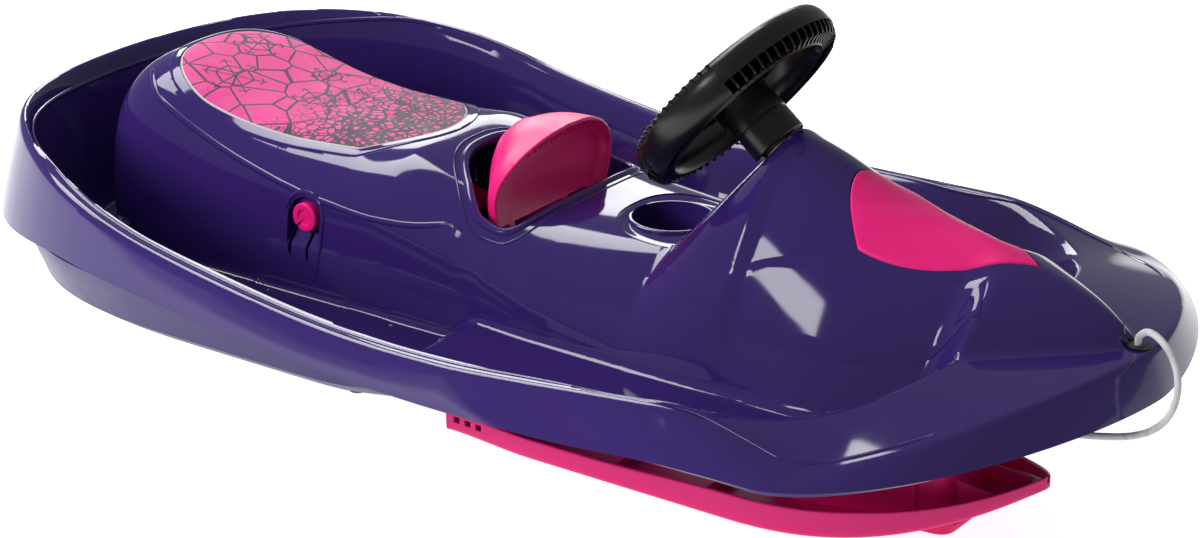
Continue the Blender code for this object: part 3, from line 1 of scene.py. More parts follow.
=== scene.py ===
from math import copysign, cos, hypot, pi, radians, sin

import bmesh
import bpy
import numpy as np
from mathutils import Matrix, Vector


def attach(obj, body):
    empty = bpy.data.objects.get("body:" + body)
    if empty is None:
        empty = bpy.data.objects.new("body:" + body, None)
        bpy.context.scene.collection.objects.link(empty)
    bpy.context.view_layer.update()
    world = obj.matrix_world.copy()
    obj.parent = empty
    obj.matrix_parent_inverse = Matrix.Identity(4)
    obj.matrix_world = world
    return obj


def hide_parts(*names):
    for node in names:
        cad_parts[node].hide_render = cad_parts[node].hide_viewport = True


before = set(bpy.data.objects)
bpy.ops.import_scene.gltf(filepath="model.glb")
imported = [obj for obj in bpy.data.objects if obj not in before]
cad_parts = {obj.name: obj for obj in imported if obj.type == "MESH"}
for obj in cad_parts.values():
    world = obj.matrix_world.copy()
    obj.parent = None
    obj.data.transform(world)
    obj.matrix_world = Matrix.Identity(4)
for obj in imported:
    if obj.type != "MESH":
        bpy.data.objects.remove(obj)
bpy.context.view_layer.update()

CLEARANCE = 0.0004
WALL = 0.0035
# How far joined pieces run into each other
LAP = 0.001

# Rim outline in plan: two rounded ends joined by straight sides
HULL_HALF_WIDTH = 0.310
REAR_CENTRE = -0.250
REAR_REACH = 0.3375
REAR_POWER = 2.1
FRONT_CENTRE = 0.384
FRONT_REACH = 0.190
FRONT_POWER = 1.58

# Rim heights and insets along the hull, as (x, value)
RIM_BOTTOM = [(-0.59, 0.150), (-0.50, 0.152), (-0.36, 0.166), (-0.286, 0.161), (-0.17, 0.148),
              (-0.06, 0.138), (0.065, 0.134), (0.185, 0.136), (0.30, 0.145), (0.45, 0.149), (0.50, 0.152),
              (0.59, 0.161)]
RIM_CREST = [(-0.59, 0.232), (-0.50, 0.2415), (-0.42, 0.236), (-0.34, 0.2215), (-0.245, 0.1985),
             (-0.153, 0.1825), (-0.067, 0.172), (0.02, 0.168), (0.12, 0.171), (0.30, 0.181), (0.42, 0.184)]
CREST_INSET = [(-0.59, 0.0255), (-0.45, 0.020), (-0.30, 0.008), (0.08, 0.008), (0.16, 0.014),
               (0.24, 0.022), (0.32, 0.028), (0.42, 0.026), (0.50, 0.020), (0.57, 0.012)]
DECK_CENTRE_HEIGHT = 0.197
DECK_SIDE_DROP = 0.0550
DECK_BLEND = (0.27, 0.43)
SPINE_REAR_X = -0.34
SPINE_FRONT_X = 0.44
RIM_LIP_INSET = 0.0110
RIM_LIP_FRONT_X = 0.50
RIM_LIP_STERN_X = -0.58
RIM_LIP_STERN_GAP = 0.001
RIM_LIP_RADIUS = 0.0030
RIM_LIP_SINK = 0.0018
RIM_LIP_FADE = 0.03

# Foot wells
WELL_INSET = 0.025
WELL_FRONT_CENTRE = 0.190
WELL_FRONT_REACH = 0.255
WELL_FRONT_POWER = 2.5
WELL_WALL_RUN = 0.042
WELL_FLOOR_REAR = 0.103
WELL_FLOOR_FRONT = 0.125
FLOOR_STEP_X = -0.03
FLOOR_STEP_RUN = 0.04

# Seat mound and console
MOUND_REAR_CENTRE = -0.360
MOUND_REAR_REACH = 0.135
MOUND_REAR_POWER = 3
MOUND_HALF_WIDTH = [(-0.50, 0.127), (-0.05, 0.127), (0.05, 0.134), (0.30, 0.136), (0.36, 0.124),
                    (0.43, 0.094), (0.47, 0.066), (0.50, 0.044), (0.522, 0.027), (0.536, 0.011)]
MOUND_HEIGHT = [(-0.50, 0.262), (-0.45, 0.274), (-0.40, 0.266), (-0.32, 0.246), (-0.25, 0.238),
                (-0.18, 0.238), (-0.13, 0.241), (-0.07, 0.229), (-0.01, 0.215), (0.04, 0.212),
                (0.1385, 0.212)]
COLLAR_TOP_X = 0.226
COLLAR_TOP_HEIGHT = 0.3140
CONSOLE_HEIGHT = [(0.226, 0.314), (0.26, 0.303), (0.30, 0.286), (0.36, 0.268), (0.44, 0.250),
                  (0.50, 0.231), (0.536, 0.212)]
SECTION_POWER = [(-0.05, 4.0), (0.06, 3.2), (0.13, 2.6), (0.24, 1.75)]
SECTION_FALL = [(-0.05, 0.27), (0.06, 0.50), (0.13, 0.62), (0.24, 0.90)]

# Fine relief: the mound's shoulder and the console's side panels, as (x, y) places
SHOULDER = [(-0.452, 0.040), (-0.4386, 0.0696), (-0.4128, 0.0944), (-0.385, 0.104), (-0.3295, 0.1098),
            (-0.2288, 0.1173), (-0.1855, 0.1191), (-0.1275, 0.1204), (-0.0777, 0.1154), (-0.0246, 0.1001)]
SHOULDER_RADIUS = 0.0038
SHOULDER_SINK = 0.0024
PANEL_TOP = [(0.150, 0.086), (0.178, 0.0965), (0.2116, 0.0984), (0.250, 0.086), (0.2934, 0.0717),
             (0.330, 0.0640), (0.380, 0.0540), (0.430, 0.0340)]
PANEL_FOOT = [(0.158, 0.098), (0.190, 0.110), (0.2200, 0.1150), (0.2600, 0.1165), (0.3046, 0.1144),
              (0.3400, 0.1080), (0.390, 0.0900), (0.440, 0.0640)]
PANEL_RISE = 0.0016
PANEL_STEP = 0.0006
PANEL_SINK = 0.0015
PANEL_EDGE = 0.005
PANEL_COLUMN = 0.003

# Seat pad and bonnet insert
PAD_REAR_CENTRE = -0.350
PAD_HALF_WIDTH = 0.087
PAD_FRONT_HALF_WIDTH = 0.077
PAD_CORNER_X = -0.1855
PAD_FRONT_BOW = 0.0455
PAD_THICKNESS = 0.004
PAD_SPINE = (-0.33, -0.20)
PATCH_GAP = 0.0006
PAD_BORDER = 0.0022
PAD_RISE = 0.0006
PAD_EDGE_RUN = 0.0016
PATCH_EDGE_DROP = 0.0014
PATCH_EDGE = (0.0, 0.0006, 0.0013, PAD_BORDER, 0.004)
LEDGE_WIDTH = 0.0115
LEDGE_RISE = 0.0011
LEDGE_SINK = 0.0006
LEDGE_DEPTH = 0.0025
LEDGE_RUN = 0.003
BACKING_THICKNESS = 0.0075
BACKING_SINK = 0.0012
# How far a cutter stands clear of what it cuts
CUTTER_RISE = 0.02
INSERT_REAR_X = 0.288
INSERT_REAR_BOW = 0.034
INSERT_HALF_WIDTH = 0.057
INSERT_TIP_X = 0.458
INSERT_THICKNESS = 0.003
INSERT_SINK = 0.0008
INSERT_SPINE = (0.33, 0.42)
INSERT_POWER = 1.9
INSERT_RISE = 0.0004
INSERT_EDGE_RUN = 0.0018
FOLD_HEIGHT = 0.0016
FOLD_HALF_WIDTH = 0.016
FOLD_REAR = (0.300, 0.046)
FOLD_MEET_X = 0.372
FOLD_REAR_FADE = (0.286, 0.330)
FOLD_FRONT_FADE = (0.40, 0.452)
FOLD_EDGE_RUN = 0.008

# Cup well
CUP_X = 0.102
CUP_RADIUS = 0.036
CUP_DEPTH = 0.058
DISH_X = 0.116
DISH_FRONT_REACH = 0.046
DISH_REAR_REACH = 0.056
DISH_HALF_WIDTH = 0.060
DISH_POWER = 2.4
DISH_EDGE = 0.0012
DISH_DEPTH = 0.0040
DISH_RUN = 0.014
DISH_SPINE = (DISH_X - 0.02, DISH_X + 0.02)
DISH_BACKING = (0.003, 0.0075)
DISH_BACKING_MARGIN = 0.004
CUP_LIP_RADIUS = 0.0030
CUP_LIP_RISE = 0.0014
CUP_LIP_INSIDE = 0.004
CUP_LIP_OUTSIDE = 0.0035
CUP_LIP_FOOT = 0.002
CUP_LIP_TOP = 0.0012

# Steering column and wheel
WHEEL_X = 0.162
WHEEL_Z = 0.3353
COLUMN_TILT = radians(51)
WHEEL_RADIUS = 0.102
RIM_WIDTH = 0.024
RIM_INNER = WHEEL_RADIUS - RIM_WIDTH
HUB_RADIUS = 0.0265
WHEEL_SCREW_STATION = 0.0165
GRIP_HALF_ANGLE = radians(35)
GRIP_STEP = 0.0020
GRIP_EDGE = 0.0015
RIM_ROUND = 0.0130
RIM_LEVEL = 0.0055
RIM_HEIGHT = 0.0185
RIM_POWER = 0.85
RIM_COVER = 0.0028
COVER_ARC = (radians(-12), radians(236))
GRIP_ARC = (radians(-58), radians(238))
RIB_PITCH = radians(5.2)
RIB_ARC = (radians(-56), radians(236))
RIB_SHRINK = 0.0011
RIB_HOLLOW = 0.0020
STUD_ANGLE = radians(52)
STUD = [(0, -0.002), (0.0026, -0.002), (0.0024, 0.0012), (0.0016, 0.0024), (0, 0.0028)]
RIB_THICKNESS = 0.0018
SPOKE_ANGLES = (pi / 2, pi * 7 / 6, -pi / 6)
SPOKE_HALF_WIDTH = 0.0118
SPOKE_FLARE = 0.0040
SPOKE_FLARE_POWER = 2.2
SPOKE_EASE = (0.0008, 0.0006)
SPOKE_LIP = 0.0024
SPOKE_LAPS = (0.003, 0.0018)
SPOKE_LEVELS = (0.0010, 0.0058, 0.0100, 0.0106)
HUB_TOP = -0.004
HUB_ROUNDS = (0.0015, 0.001)
HUB_BORE_STATION = 0.006
HUB_SCREW_HOLE = (-0.005, -0.04)
HUB_GROOVE = (0.0365, 0.0372, 0.0388, 0.0395)
HUB_GROOVE_DEPTH = 0.0012
HUB_NOTCH = (0.0235, 0.08)
HUB_NOTCH_WIDTH = (-0.03, 0.03)
HUB_NOTCH_HEIGHT = (-0.0125, -0.04)
HUB_CORE_RADIUS = 0.0168
HUB_CORE_STATION = 0.018
COLLAR_STATION = 0.0620
COLLAR_BORE = (0.04, 0.11)
COLUMN_RADIUS = 0.010
BUSH_RADIUS = 0.0145

# Brake
AXLE_X = -0.213
AXLE_Z = 0.176
AXLE_RADIUS = 0.005
CAP_RADIUS = 0.0135
CAP_STEM_RADIUS = 0.0088
CAP_HEIGHT = 0.0075
CAP_DISH = 0.0058
CAP_DISH_RADII = (0.0065, 0.0078)
CAP_ROUND = 0.0022
CAP_STEM_LENGTH = 0.018
CAP_BORE_START = 0.006
CAP_NOTCH = [(0.0, 0.0), (-0.0165, -0.0030), (-0.0165, 0.0030)]
CAP_NOTCH_TURN = radians(52)
CAP_NOTCH_REACH = (0.0052, 0.012)
POCKET_RADIUS = 0.0185
POCKET_DROP = 0.030
POCKET_BACK_Y = 0.1160
POCKET_FRAME = 0.0042
POCKET_SINK = 0.0008
POCKET_CUT = 0.03
STEM_HOLE_REACH = (0.10, 0.15)
POCKET_FOOT_OUT = 0.0006
RIDGE_SINK = 0.0006
ARCH_RIDGE = [(-0.2345, 0.1760), (-0.2330, 0.1850), (-0.2290, 0.1920), (-0.2220, 0.1965),
              (-0.2130, 0.1980), (-0.2040, 0.1962), (-0.1965, 0.1910), (-0.1925, 0.1830),
              (-0.1915, 0.1720), (-0.1925, 0.1560), (-0.1950, 0.1400), (-0.1985, 0.1240), (-0.2020, 0.1100)]
ARCH_RIDGE_RADIUS = 0.0026
RIDGE_LEAN = 0.1
RIDGE_START = 0.3
RIDGE_SWELL_END = 0.10
RIDGE_END = 0.25
RIDGE_THIN_START = 0.5
WALL_SLOTS = ((-0.2284, 0.1385, 0.1620), (-0.2083, 0.1370, 0.1605))
WALL_SLOT_HALF_WIDTH = 0.0016
WALL_SLOT_REACH = (0.105, 0.145)
SLOT_FRONT_X = 0.007
SLOT_HALF_WIDTH = 0.096
SLOT_POWER = 3.4
SLOT_BACK = [(0.0, -0.1000), (0.015, -0.0990), (0.030, -0.0940), (0.045, -0.0855), (0.058, -0.0745),
             (0.070, -0.0625), (0.080, -0.0525), (0.0880, -0.0430), (0.0935, -0.0350), (0.0960, -0.0200)]
# Beads round the slot, each as (distance out, radius, sink)
SLOT_BEADS = ((0.0040, 0.0044, 0.0018), (0.0135, 0.0014, 0.0005))
LIP_LEAN = [(0.185, -0.0275), (0.205, -0.0270), (0.234, -0.0245), (0.252, -0.0185), (0.272, -0.0090)]
HANDLE_FOOT_Z = 0.185
HANDLE_WALL = 0.004
HOOD_FULLNESS = 0.56
LIP_SIDE_Y = 0.07
LIP = [(0.0, 0.2720), (0.030, 0.2690), (0.055, 0.2600), (0.074, 0.2470), (0.0850, 0.2340),
       (0.0885, 0.2200), (0.0855, 0.2020), (0.0800, 0.1850)]
HANDLE_BACK = [(0.0, -0.085), (0.022, -0.0785), (0.042, -0.0665), (0.060, -0.0530), (0.072, -0.0440),
               (0.0785, -0.0385), (0.0800, -0.0350), (0.0780, -0.0330)]
LEVER_ARM_Y = 0.040
LEVER_ARM_WIDTH = 0.008
LEVER_ARM = [(-0.0640, 0.210), (-0.0440, 0.210), (-0.0420, 0.175), (-0.065, 0.150), (-0.120, 0.150),
             (-0.213, 0.166), (-0.222, 0.176), (-0.213, 0.186), (-0.130, 0.166), (-0.0780, 0.161),
             (-0.0660, 0.172)]
TUBE_RADIUS = 0.012
TUBE_HALF_LENGTH = 0.085
CLAW_ANGLE = radians(60)
CLAW_Y = 0.028
CLAW_SLOT = (-0.328, -0.206)
CLAW_SLOT_HALF_WIDTH = 0.006
CLAW_SLOT_TOP = 0.03
HOOD_RIBS = 17
HOOD_RIB_SPACING = 0.0070
HOOD_RIB_HALF = 0.0009
HOOD_RIB = [(-0.0015, -0.0030), (-0.0200, -0.0030), (-0.0240, -0.0150), (-0.0085, -0.0150)]
HOOD_WALL_INSET = 0.0115
HOOD_WALL_SETBACK = 0.0075
HOOD_WALL_THICKNESS = 0.003
HOOD_HOLLOW = 0.0060
HOOD_HOLLOW_Z = (0.190, 0.250)
HOOD_HALF_WIDTH = 0.09
LUG = [(0.004, -0.009), (0.060, -0.007), (0.060, 0.007), (0.004, 0.009)]
LUG_SPAN = (0.003, 0.008)
RIVET_STATION = 0.046
RIVET_RADIUS = 0.0030
RIVET_CUT = 0.05
AXLE_CUT = 0.15
SPRING_PEG_REACH = 0.027
SPRING_PEG_RADIUS = 0.002
SPRING_PEG_LENGTH = 0.015
AXLE_GAP = 0.0003

# Steering ski
SPINDLE_X = 0.345
SPINDLE_RADIUS = 0.008
SPINDLE_HOLE = (0.008, 0.12)
SKI_REAR_X = -0.067
SKI_TIP_X = 0.4785
SKI_HALF_WIDTH = 0.117
SKI_TAPER_X = 0.235
SKI_CURVE_X = 0.235
SKI_TIP_RISE = 0.053
SKI_RISE_POWER = 2.6
SKI_WAIST = 0.93
SKI_WAIST_RUN = 0.10
SKI_TAPER_POWERS = (2.1, 0.80)
SKI_TIP_SHORT = 0.0015
SKI_REAR_SHARE = 0.925
SKI_WEB_SHARE = 0.85
SKI_WALL = [(-0.067, 0.0200), (0.10, 0.0205), (0.235, 0.0260), (0.35, 0.0250), (0.4785, 0.0110)]
SKI_SKIN = 0.0035
SKI_BOX_REAR_X = 0.262
SKI_BOX_FRONT_X = 0.405
SKI_BOX_HALF_WIDTH = 0.052
SKI_BOX_HEIGHT = 0.062
SKI_HUB_RADIUS = 0.018
SKI_HUB_TOP = 0.1041
SKI_CHAMFER = 0.006
SKI_INNER_ROUND = 0.0012
# Shares of the half width that the skin and the chamfer keep to near the tip
SKI_TIP_SKIN = 0.45
SKI_TIP_CHAMFER = 0.3
SKI_BOX_TAPER = 0.72
SKI_BOX_ROUNDS = (0.004, 0.014)
SKI_BOX_FOOT = 0.0015
SKI_FOOT = 0.002
SKI_RIB_PLACES = (0.02, 0.11, 0.20)
SKI_WEB_PLACES = (0.295, 0.375)
SKI_WEB_HALF = 0.0015
SKI_WEB_TOP = SKI_BOX_HEIGHT - 0.004
SKI_BOX_FLOOR = SKI_SKIN + 0.012
SKI_HUB_ROUND = 0.003
SKI_HUB_FLARE = (0.004, 0.010)
SKI_STRUT_Y = 0.024
SKI_STRUT_HALF = 0.0013
SKI_STRUT_LAP = 0.004
SKI_STRUT_LEVELS = (0.004, SKI_BOX_HEIGHT - 0.012, 0.003)
SKI_STRUT_FEET = (0.450, 0.205)
SKI_RIB_HALF = 0.0012
SKI_RIB_TOP = 0.012
SKI_SLOT_START = 0.012
SKI_SLOT_PITCH = 0.013
SKI_SLOT_HALF = 0.0035
SKI_SLOT_LEVELS = (0.0105, 0.0165)

# Lower hull
PAN_INSET = 0.060
PAN_REAR_REACH = 0.290
PAN_REAR_POWER = 2.6
PAN_FRONT_CENTRE = -0.160
PAN_FRONT_REACH = 0.150
PAN_FRONT_POWER = 5.0
PAN_PROFILE = [(0.0, 0.005), (0.13, 0.005), (0.17, 0.0), (0.29, 0.0), (0.345, 0.007), (0.92, 0.079),
               (0.97, 0.0875), (1.0, 0.0940)]
PAN_SKIRT = [(1.010, 0.1020), (1.026, 0.1130), (1.040, 0.1240), (1.050, 0.1340)]
PAN_SKIRT_GAP = 0.0015
PAN_EASE = 0.006
TOWER_RADIUS = 0.008
TOWER_PLACES = [(-0.40, 0.145), (-0.25, 0.125), (-0.11, 0.132)]
TOWER_LAP = 0.012
SCREW_RADIUS = 0.002
SCREW_HEAD_RADIUS = 0.004
SCREW_HEAD_SINK = 0.016
SCREW_PLAY = 0.0008
SCREW_HEAD_PLAY = 0.001

# Tow cord, from the deck hole over the front edge to the carrier under the deck
CORD_RADIUS = 0.003
CORD_HOLE_X = 0.549
CORD_HOLE_SPAN = (0.16, 0.24)
CORD_GUIDE_RADIUS = 0.0065
CORD_SIDES = 20
CORD_STRANDS = 4
CORD_LAY = 0.0145
CORD_VALLEY = 0.90
CORD_STEP = 0.0011
CORD_ROUTE = [(0.549, 0.000, 0.1905), (0.5490, 0.000, 0.1985), (0.5500, -0.001, 0.2065),
              (0.5585, -0.004, 0.2135), (0.5715, -0.010, 0.2130), (0.5860, -0.018, 0.2060),
              (0.5965, -0.026, 0.1930), (0.6000, -0.033, 0.1770), (0.5960, -0.038, 0.1615),
              (0.5850, -0.041, 0.1490), (0.5680, -0.042, 0.1400), (0.5450, -0.041, 0.1330),
              (0.5180, -0.039, 0.1270), (0.4880, -0.037, 0.1235), (0.4550, -0.035, 0.1220),
              (0.4250, -0.034, 0.1215), (0.4070, -0.034, 0.1215), (0.3955, -0.034, 0.1215)]

# Camera
VIEW_AZIMUTH = radians(35.3)
VIEW_ELEVATION = radians(22)
VIEW_DISTANCE = 2.88
VIEW_TARGET = (0.0245, 0.0, 0.1414)
LENS = 97.2

# Grid of the hull's skin
SIDE_SPACING = 0.0036
END_SPACING = 0.0040
RIM_POINTS = 8
CREST_POINTS = 10
WELL_POINTS = 46
FOOT_POINTS = 12
MOUND_POINTS = 58
CREST_ROUNDING = 0.0045
FOOT_ROUNDING = 0.010
FLANGE_STEPS = 24
FLANGE_POWER = 1.12
WELL_STEPS = 120
MOUND_STEPS = 150
MOUND_STEP_POWER = 2.2
PANEL_COLUMNS = 90
PANEL_ROWS = 18
LIP_POINTS = 60
HOOD_COLUMNS = 44
HOOD_ROWS = 34
HOOD_WALL_HALF_ROWS = 16
SKI_SECTIONS = 90
MERGE_DISTANCE = 0.0001
WELD_DISTANCE = 0.000001
ROUTE_STEP = 0.001
SLOPE_STEP = 0.0008
SLOT_STEP = 0.002
SHOULDER_STEP = 0.003
RIDGE_STEP = 0.0015
PANEL_ROW_STEP = 0.002
BEAD_STEP = 0.0028
BEAD_END = 0.1
SLOT_POINTS = 400
RIM_SECTIONS = 150

# Bends over these angles are shaded sharp
SHADE_ANGLE = radians(38)
HULL_SHADE_ANGLE = radians(30)
SHEET_SHADE_ANGLE = radians(35)
CORD_SHADE_ANGLE = radians(80)


# Shapes from the values above

def smooth_step(low, high, value):
    t = min(max((value - low) / (high - low), 0), 1)
    return t * t * (3 - 2 * t)


def along(points, x):
    """Height of a smooth curve through (x, value) points."""
    if x <= points[0][0]:
        return points[0][1]
    if x >= points[-1][0]:
        return points[-1][1]
    i = max(k for k in range(len(points) - 1) if points[k][0] <= x)
    x0, v0 = points[i]
    x1, v1 = points[i + 1]
    span = x1 - x0
    before = points[max(i - 1, 0)]
    after = points[min(i + 2, len(points) - 1)]
    m0 = (v1 - before[1]) / (x1 - before[0]) * span
    m1 = (after[1] - v0) / (after[0] - x0) * span
    step = v1 - v0
    m0 = min(max(m0, min(0, 3 * step)), max(0, 3 * step))
    m1 = min(max(m1, min(0, 3 * step)), max(0, 3 * step))
    t = (x - x0) / span
    return v0 + m0 * t * (1 - t) ** 2 + step * t * t * (3 - 2 * t) - m1 * t * t * (1 - t)


def mix(one, two, share):
    return one + (two - one) * share


def superellipse(angle, reach, half, power):
    """Point at a sweep angle of a rounded outline round the origin."""
    c, s = cos(angle), sin(angle)
    return copysign(reach * abs(c) ** (2 / power), c), copysign(half * abs(s) ** (2 / power), s)


def arc(u, v, reach, start, end, steps, rise=None):
    """Points of a round stretch about (u, v) from one angle to another, flattened by a rise of its own."""
    turns = [mix(start, end, k / steps) for k in range(steps + 1)]
    return [(u + reach * cos(turn), v + (rise or reach) * sin(turn)) for turn in turns]


def share_out(x, y, half, *ends):
    """How far out in an outline a place lies: 0 on its spine, 1 on the line.

    An end is its centre, reach and power, and the rear end's reach is negative.
    """
    width = abs(y) / half
    for centre, reach, power in ends:
        run = (x - centre) / reach
        if run > 0:
            return (run ** power + width ** power) ** (1 / power)
    return width


def outline_point(angle, inset=0.0):
    """Point of the rim outline at a sweep angle: 0 at the nose, pi at the stern."""
    centre, reach, power = REAR_CENTRE, REAR_REACH, REAR_POWER
    if angle < pi / 2:
        centre, reach, power = FRONT_CENTRE, FRONT_REACH, FRONT_POWER
    x, y = superellipse(angle, reach - inset, HULL_HALF_WIDTH - inset, power)
    return centre + x, y


def rim_height(x, y):
    """Top of the rim and of the front deck."""
    deck = DECK_CENTRE_HEIGHT - DECK_SIDE_DROP * (y / HULL_HALF_WIDTH) ** 2
    return mix(along(RIM_CREST, x), deck, smooth_step(*DECK_BLEND, x))


def floor_height(x):
    half = FLOOR_STEP_RUN / 2
    rise = smooth_step(FLOOR_STEP_X - half, FLOOR_STEP_X + half, x)
    return mix(WELL_FLOOR_REAR, WELL_FLOOR_FRONT, rise)


def well_depth(x, y):
    """Distance inside the foot wells' outline."""
    half = HULL_HALF_WIDTH - WELL_INSET
    share = share_out(x, y, half, (WELL_FRONT_CENTRE, WELL_FRONT_REACH, WELL_FRONT_POWER),
                      (REAR_CENTRE, WELL_INSET - REAR_REACH, REAR_POWER))
    return (1 - share) * half


def base_height(x, y):
    """Rim top falling into the foot well, as if there were no seat mound."""
    fall = smooth_step(0, WELL_WALL_RUN, well_depth(x, y))
    return mix(rim_height(x, y), floor_height(x), fall)


def mound_share(x, y):
    """0 on the spine and 1 at the foot of the mound."""
    if x > MOUND_HALF_WIDTH[-1][0]:
        return 2.0
    rear = (MOUND_REAR_CENTRE, -MOUND_REAR_REACH, MOUND_REAR_POWER)
    return share_out(x, y, along(MOUND_HALF_WIDTH, x), rear)


def spine_height(x):
    if x <= MOUND_HEIGHT[-1][0]:
        return along(MOUND_HEIGHT, x)
    if x <= COLLAR_TOP_X:
        foot_x, foot = MOUND_HEIGHT[-1]
        return mix(foot, COLLAR_TOP_HEIGHT, (x - foot_x) / (COLLAR_TOP_X - foot_x))
    return along(CONSOLE_HEIGHT, x)


def body_height(x, y):
    """Hull surface without its recesses and fine detail."""
    ground = base_height(x, y)
    share = mound_share(x, y)
    if share >= 1:
        return ground
    fullness = (1 - share ** along(SECTION_POWER, x)) ** along(SECTION_FALL, x)
    return mix(ground, spine_height(x), fullness)


def first_value(low, high, reached, halvings=40):
    """Value between low and high from which a test holds, for a test that then stays true."""
    for _ in range(halvings):
        middle = (low + high) / 2
        if reached(middle):
            high = middle
        else:
            low = middle
    return (low + high) / 2


def insert_half(x):
    start = INSERT_REAR_X + INSERT_REAR_BOW
    run = min(max((x - start) / (INSERT_TIP_X - start), 0), 1)
    return INSERT_HALF_WIDTH * (1 - run ** INSERT_POWER)


# The column's frame has u to the rider's left, v up the wheel's plane and w down the column
COLUMN_DOWN = Vector((sin(COLUMN_TILT), 0, -cos(COLUMN_TILT)))
COLUMN_RISE = Vector((cos(COLUMN_TILT), 0, sin(COLUMN_TILT)))
WHEEL_FRAME = Matrix(((0, COLUMN_RISE.x, COLUMN_DOWN.x, WHEEL_X), (1, 0, 0, 0),
                      (0, COLUMN_RISE.z, COLUMN_DOWN.z, WHEEL_Z), (0, 0, 0, 1)))


def column_point(station, up=0.0):
    """Point by its distance down the column from the wheel, and its offset up from the column's axis."""
    return Vector((WHEEL_X, 0, WHEEL_Z)) + COLUMN_DOWN * station + COLUMN_RISE * up


# Node materials

def node_material(name, colour, roughness, metallic=0.0):
    """Principled material with its node tree, shader and object coordinates."""
    made = bpy.data.materials.new(name)
    made.use_nodes = True
    tree = made.node_tree
    shader = tree.nodes["Principled BSDF"]
    shader.inputs["Base Color"].default_value = (*colour, 1)
    shader.inputs["Roughness"].default_value = roughness
    shader.inputs["Metallic"].default_value = metallic
    coordinates = tree.nodes.new("ShaderNodeTexCoord")
    return made, tree, shader, coordinates.outputs["Object"]


def noise(tree, place, scale, detail=3.0, stretch=None):
    if stretch:
        mapping = tree.nodes.new("ShaderNodeMapping")
        mapping.inputs["Scale"].default_value = stretch
        tree.links.new(place, mapping.inputs["Vector"])
        place = mapping.outputs["Vector"]
    made = tree.nodes.new("ShaderNodeTexNoise")
    made.inputs["Scale"].default_value = scale
    made.inputs["Detail"].default_value = detail
    tree.links.new(place, made.inputs["Vector"])
    return made.outputs["Fac"]


def ramp(tree, value, low, high, from_value, to_value):
    """Value mapped from low..high to from_value..to_value."""
    made = tree.nodes.new("ShaderNodeMapRange")
    made.inputs["From Min"].default_value = low
    made.inputs["From Max"].default_value = high
    made.inputs["To Min"].default_value = from_value
    made.inputs["To Max"].default_value = to_value
    tree.links.new(value, made.inputs["Value"])
    return made.outputs["Result"]


def mix_colour(tree, share, one, two):
    made = tree.nodes.new("ShaderNodeMix")
    made.data_type = "RGBA"
    for socket, value in ((made.inputs[6], one), (made.inputs[7], two)):
        if isinstance(value, tuple):
            socket.default_value = (*value, 1)
        else:
            tree.links.new(value, socket)
    tree.links.new(share, made.inputs[0])
    return made.outputs[2]


def bump(tree, shader, height, strength, distance, previous=None):
    made = tree.nodes.new("ShaderNodeBump")
    made.inputs["Strength"].default_value = strength
    made.inputs["Distance"].default_value = distance
    tree.links.new(height, made.inputs["Height"])
    if previous:
        tree.links.new(previous, made.inputs["Normal"])
    tree.links.new(made.outputs["Normal"], shader.inputs["Normal"])
    return made.outputs["Normal"]


def moulded_plastic(name, colour, worn, rough_low, rough_high, wave, grain, grain_scale):
    """Moulded plastic: faint colour drift, uneven gloss, slow surface waves and a fine grain."""
    made, tree, shader, place = node_material(name, colour, rough_low)
    drift = noise(tree, place, 5.0, 4.0)
    mottle = mix_colour(tree, ramp(tree, drift, 0.35, 0.70, 0.0, 1.0), colour, worn)
    tree.links.new(mottle, shader.inputs["Base Color"])
    haze = noise(tree, place, 38.0, 6.0)
    tree.links.new(ramp(tree, haze, 0.35, 0.75, rough_low, rough_high), shader.inputs["Roughness"])
    slow = bump(tree, shader, noise(tree, place, 9.0, 1.0), 0.35, wave)
    bump(tree, shader, noise(tree, place, grain_scale, 2.0), 0.5, grain, slow)
    return made


HULL_PLASTIC = moulded_plastic("hull_plastic", (0.033, 0.0135, 0.128), (0.036, 0.015, 0.136),
                               0.05, 0.09, 0.0010, 0.00001, 900)
PAN_PLASTIC = moulded_plastic("pan_plastic", (0.036, 0.020, 0.110), (0.045, 0.026, 0.125),
                              0.30, 0.42, 0.0008, 0.00006, 1100)
PINK_PLASTIC = moulded_plastic("pink_plastic", (0.91, 0.010, 0.215), (0.93, 0.012, 0.223),
                               0.34, 0.42, 0.0005, 0.00008, 1300)
BLACK_PLASTIC = moulded_plastic("black_plastic", (0.006, 0.006, 0.006), (0.009, 0.009, 0.009),
                                0.30, 0.44, 0.0004, 0.00010, 1200)
WHEEL_PLASTIC = moulded_plastic("wheel_plastic", (0.004, 0.004, 0.004), (0.006, 0.006, 0.006),
                                0.22, 0.32, 0.0003, 0.00004, 1200)
PAD_FOAM = moulded_plastic("pad_foam", (0.55, 0.53, 0.56), (0.62, 0.60, 0.62),
                           0.70, 0.85, 0.0002, 0.00010, 1500)
NYLON = moulded_plastic("nylon", (0.70, 0.70, 0.68), (0.76, 0.75, 0.72), 0.38, 0.52, 0.0003, 0.00006, 1200)


def steel_material():
    """Zinc-plated steel: brushed grain, dull patches and a slight warm drift."""
    colour, dull = (0.56, 0.57, 0.59), (0.47, 0.46, 0.45)
    made, tree, shader, place = node_material("plated_steel", colour, 0.25, 1.0)
    patches = noise(tree, place, 60.0, 5.0)
    mottle = mix_colour(tree, ramp(tree, patches, 0.40, 0.70, 0.0, 1.0), colour, dull)
    tree.links.new(mottle, shader.inputs["Base Color"])
    tree.links.new(ramp(tree, patches, 0.35, 0.75, 0.20, 0.42), shader.inputs["Roughness"])
    bump(tree, shader, noise(tree, place, 900.0, 2.0, (1, 0.15, 1)), 0.4, 0.00004)
    return made


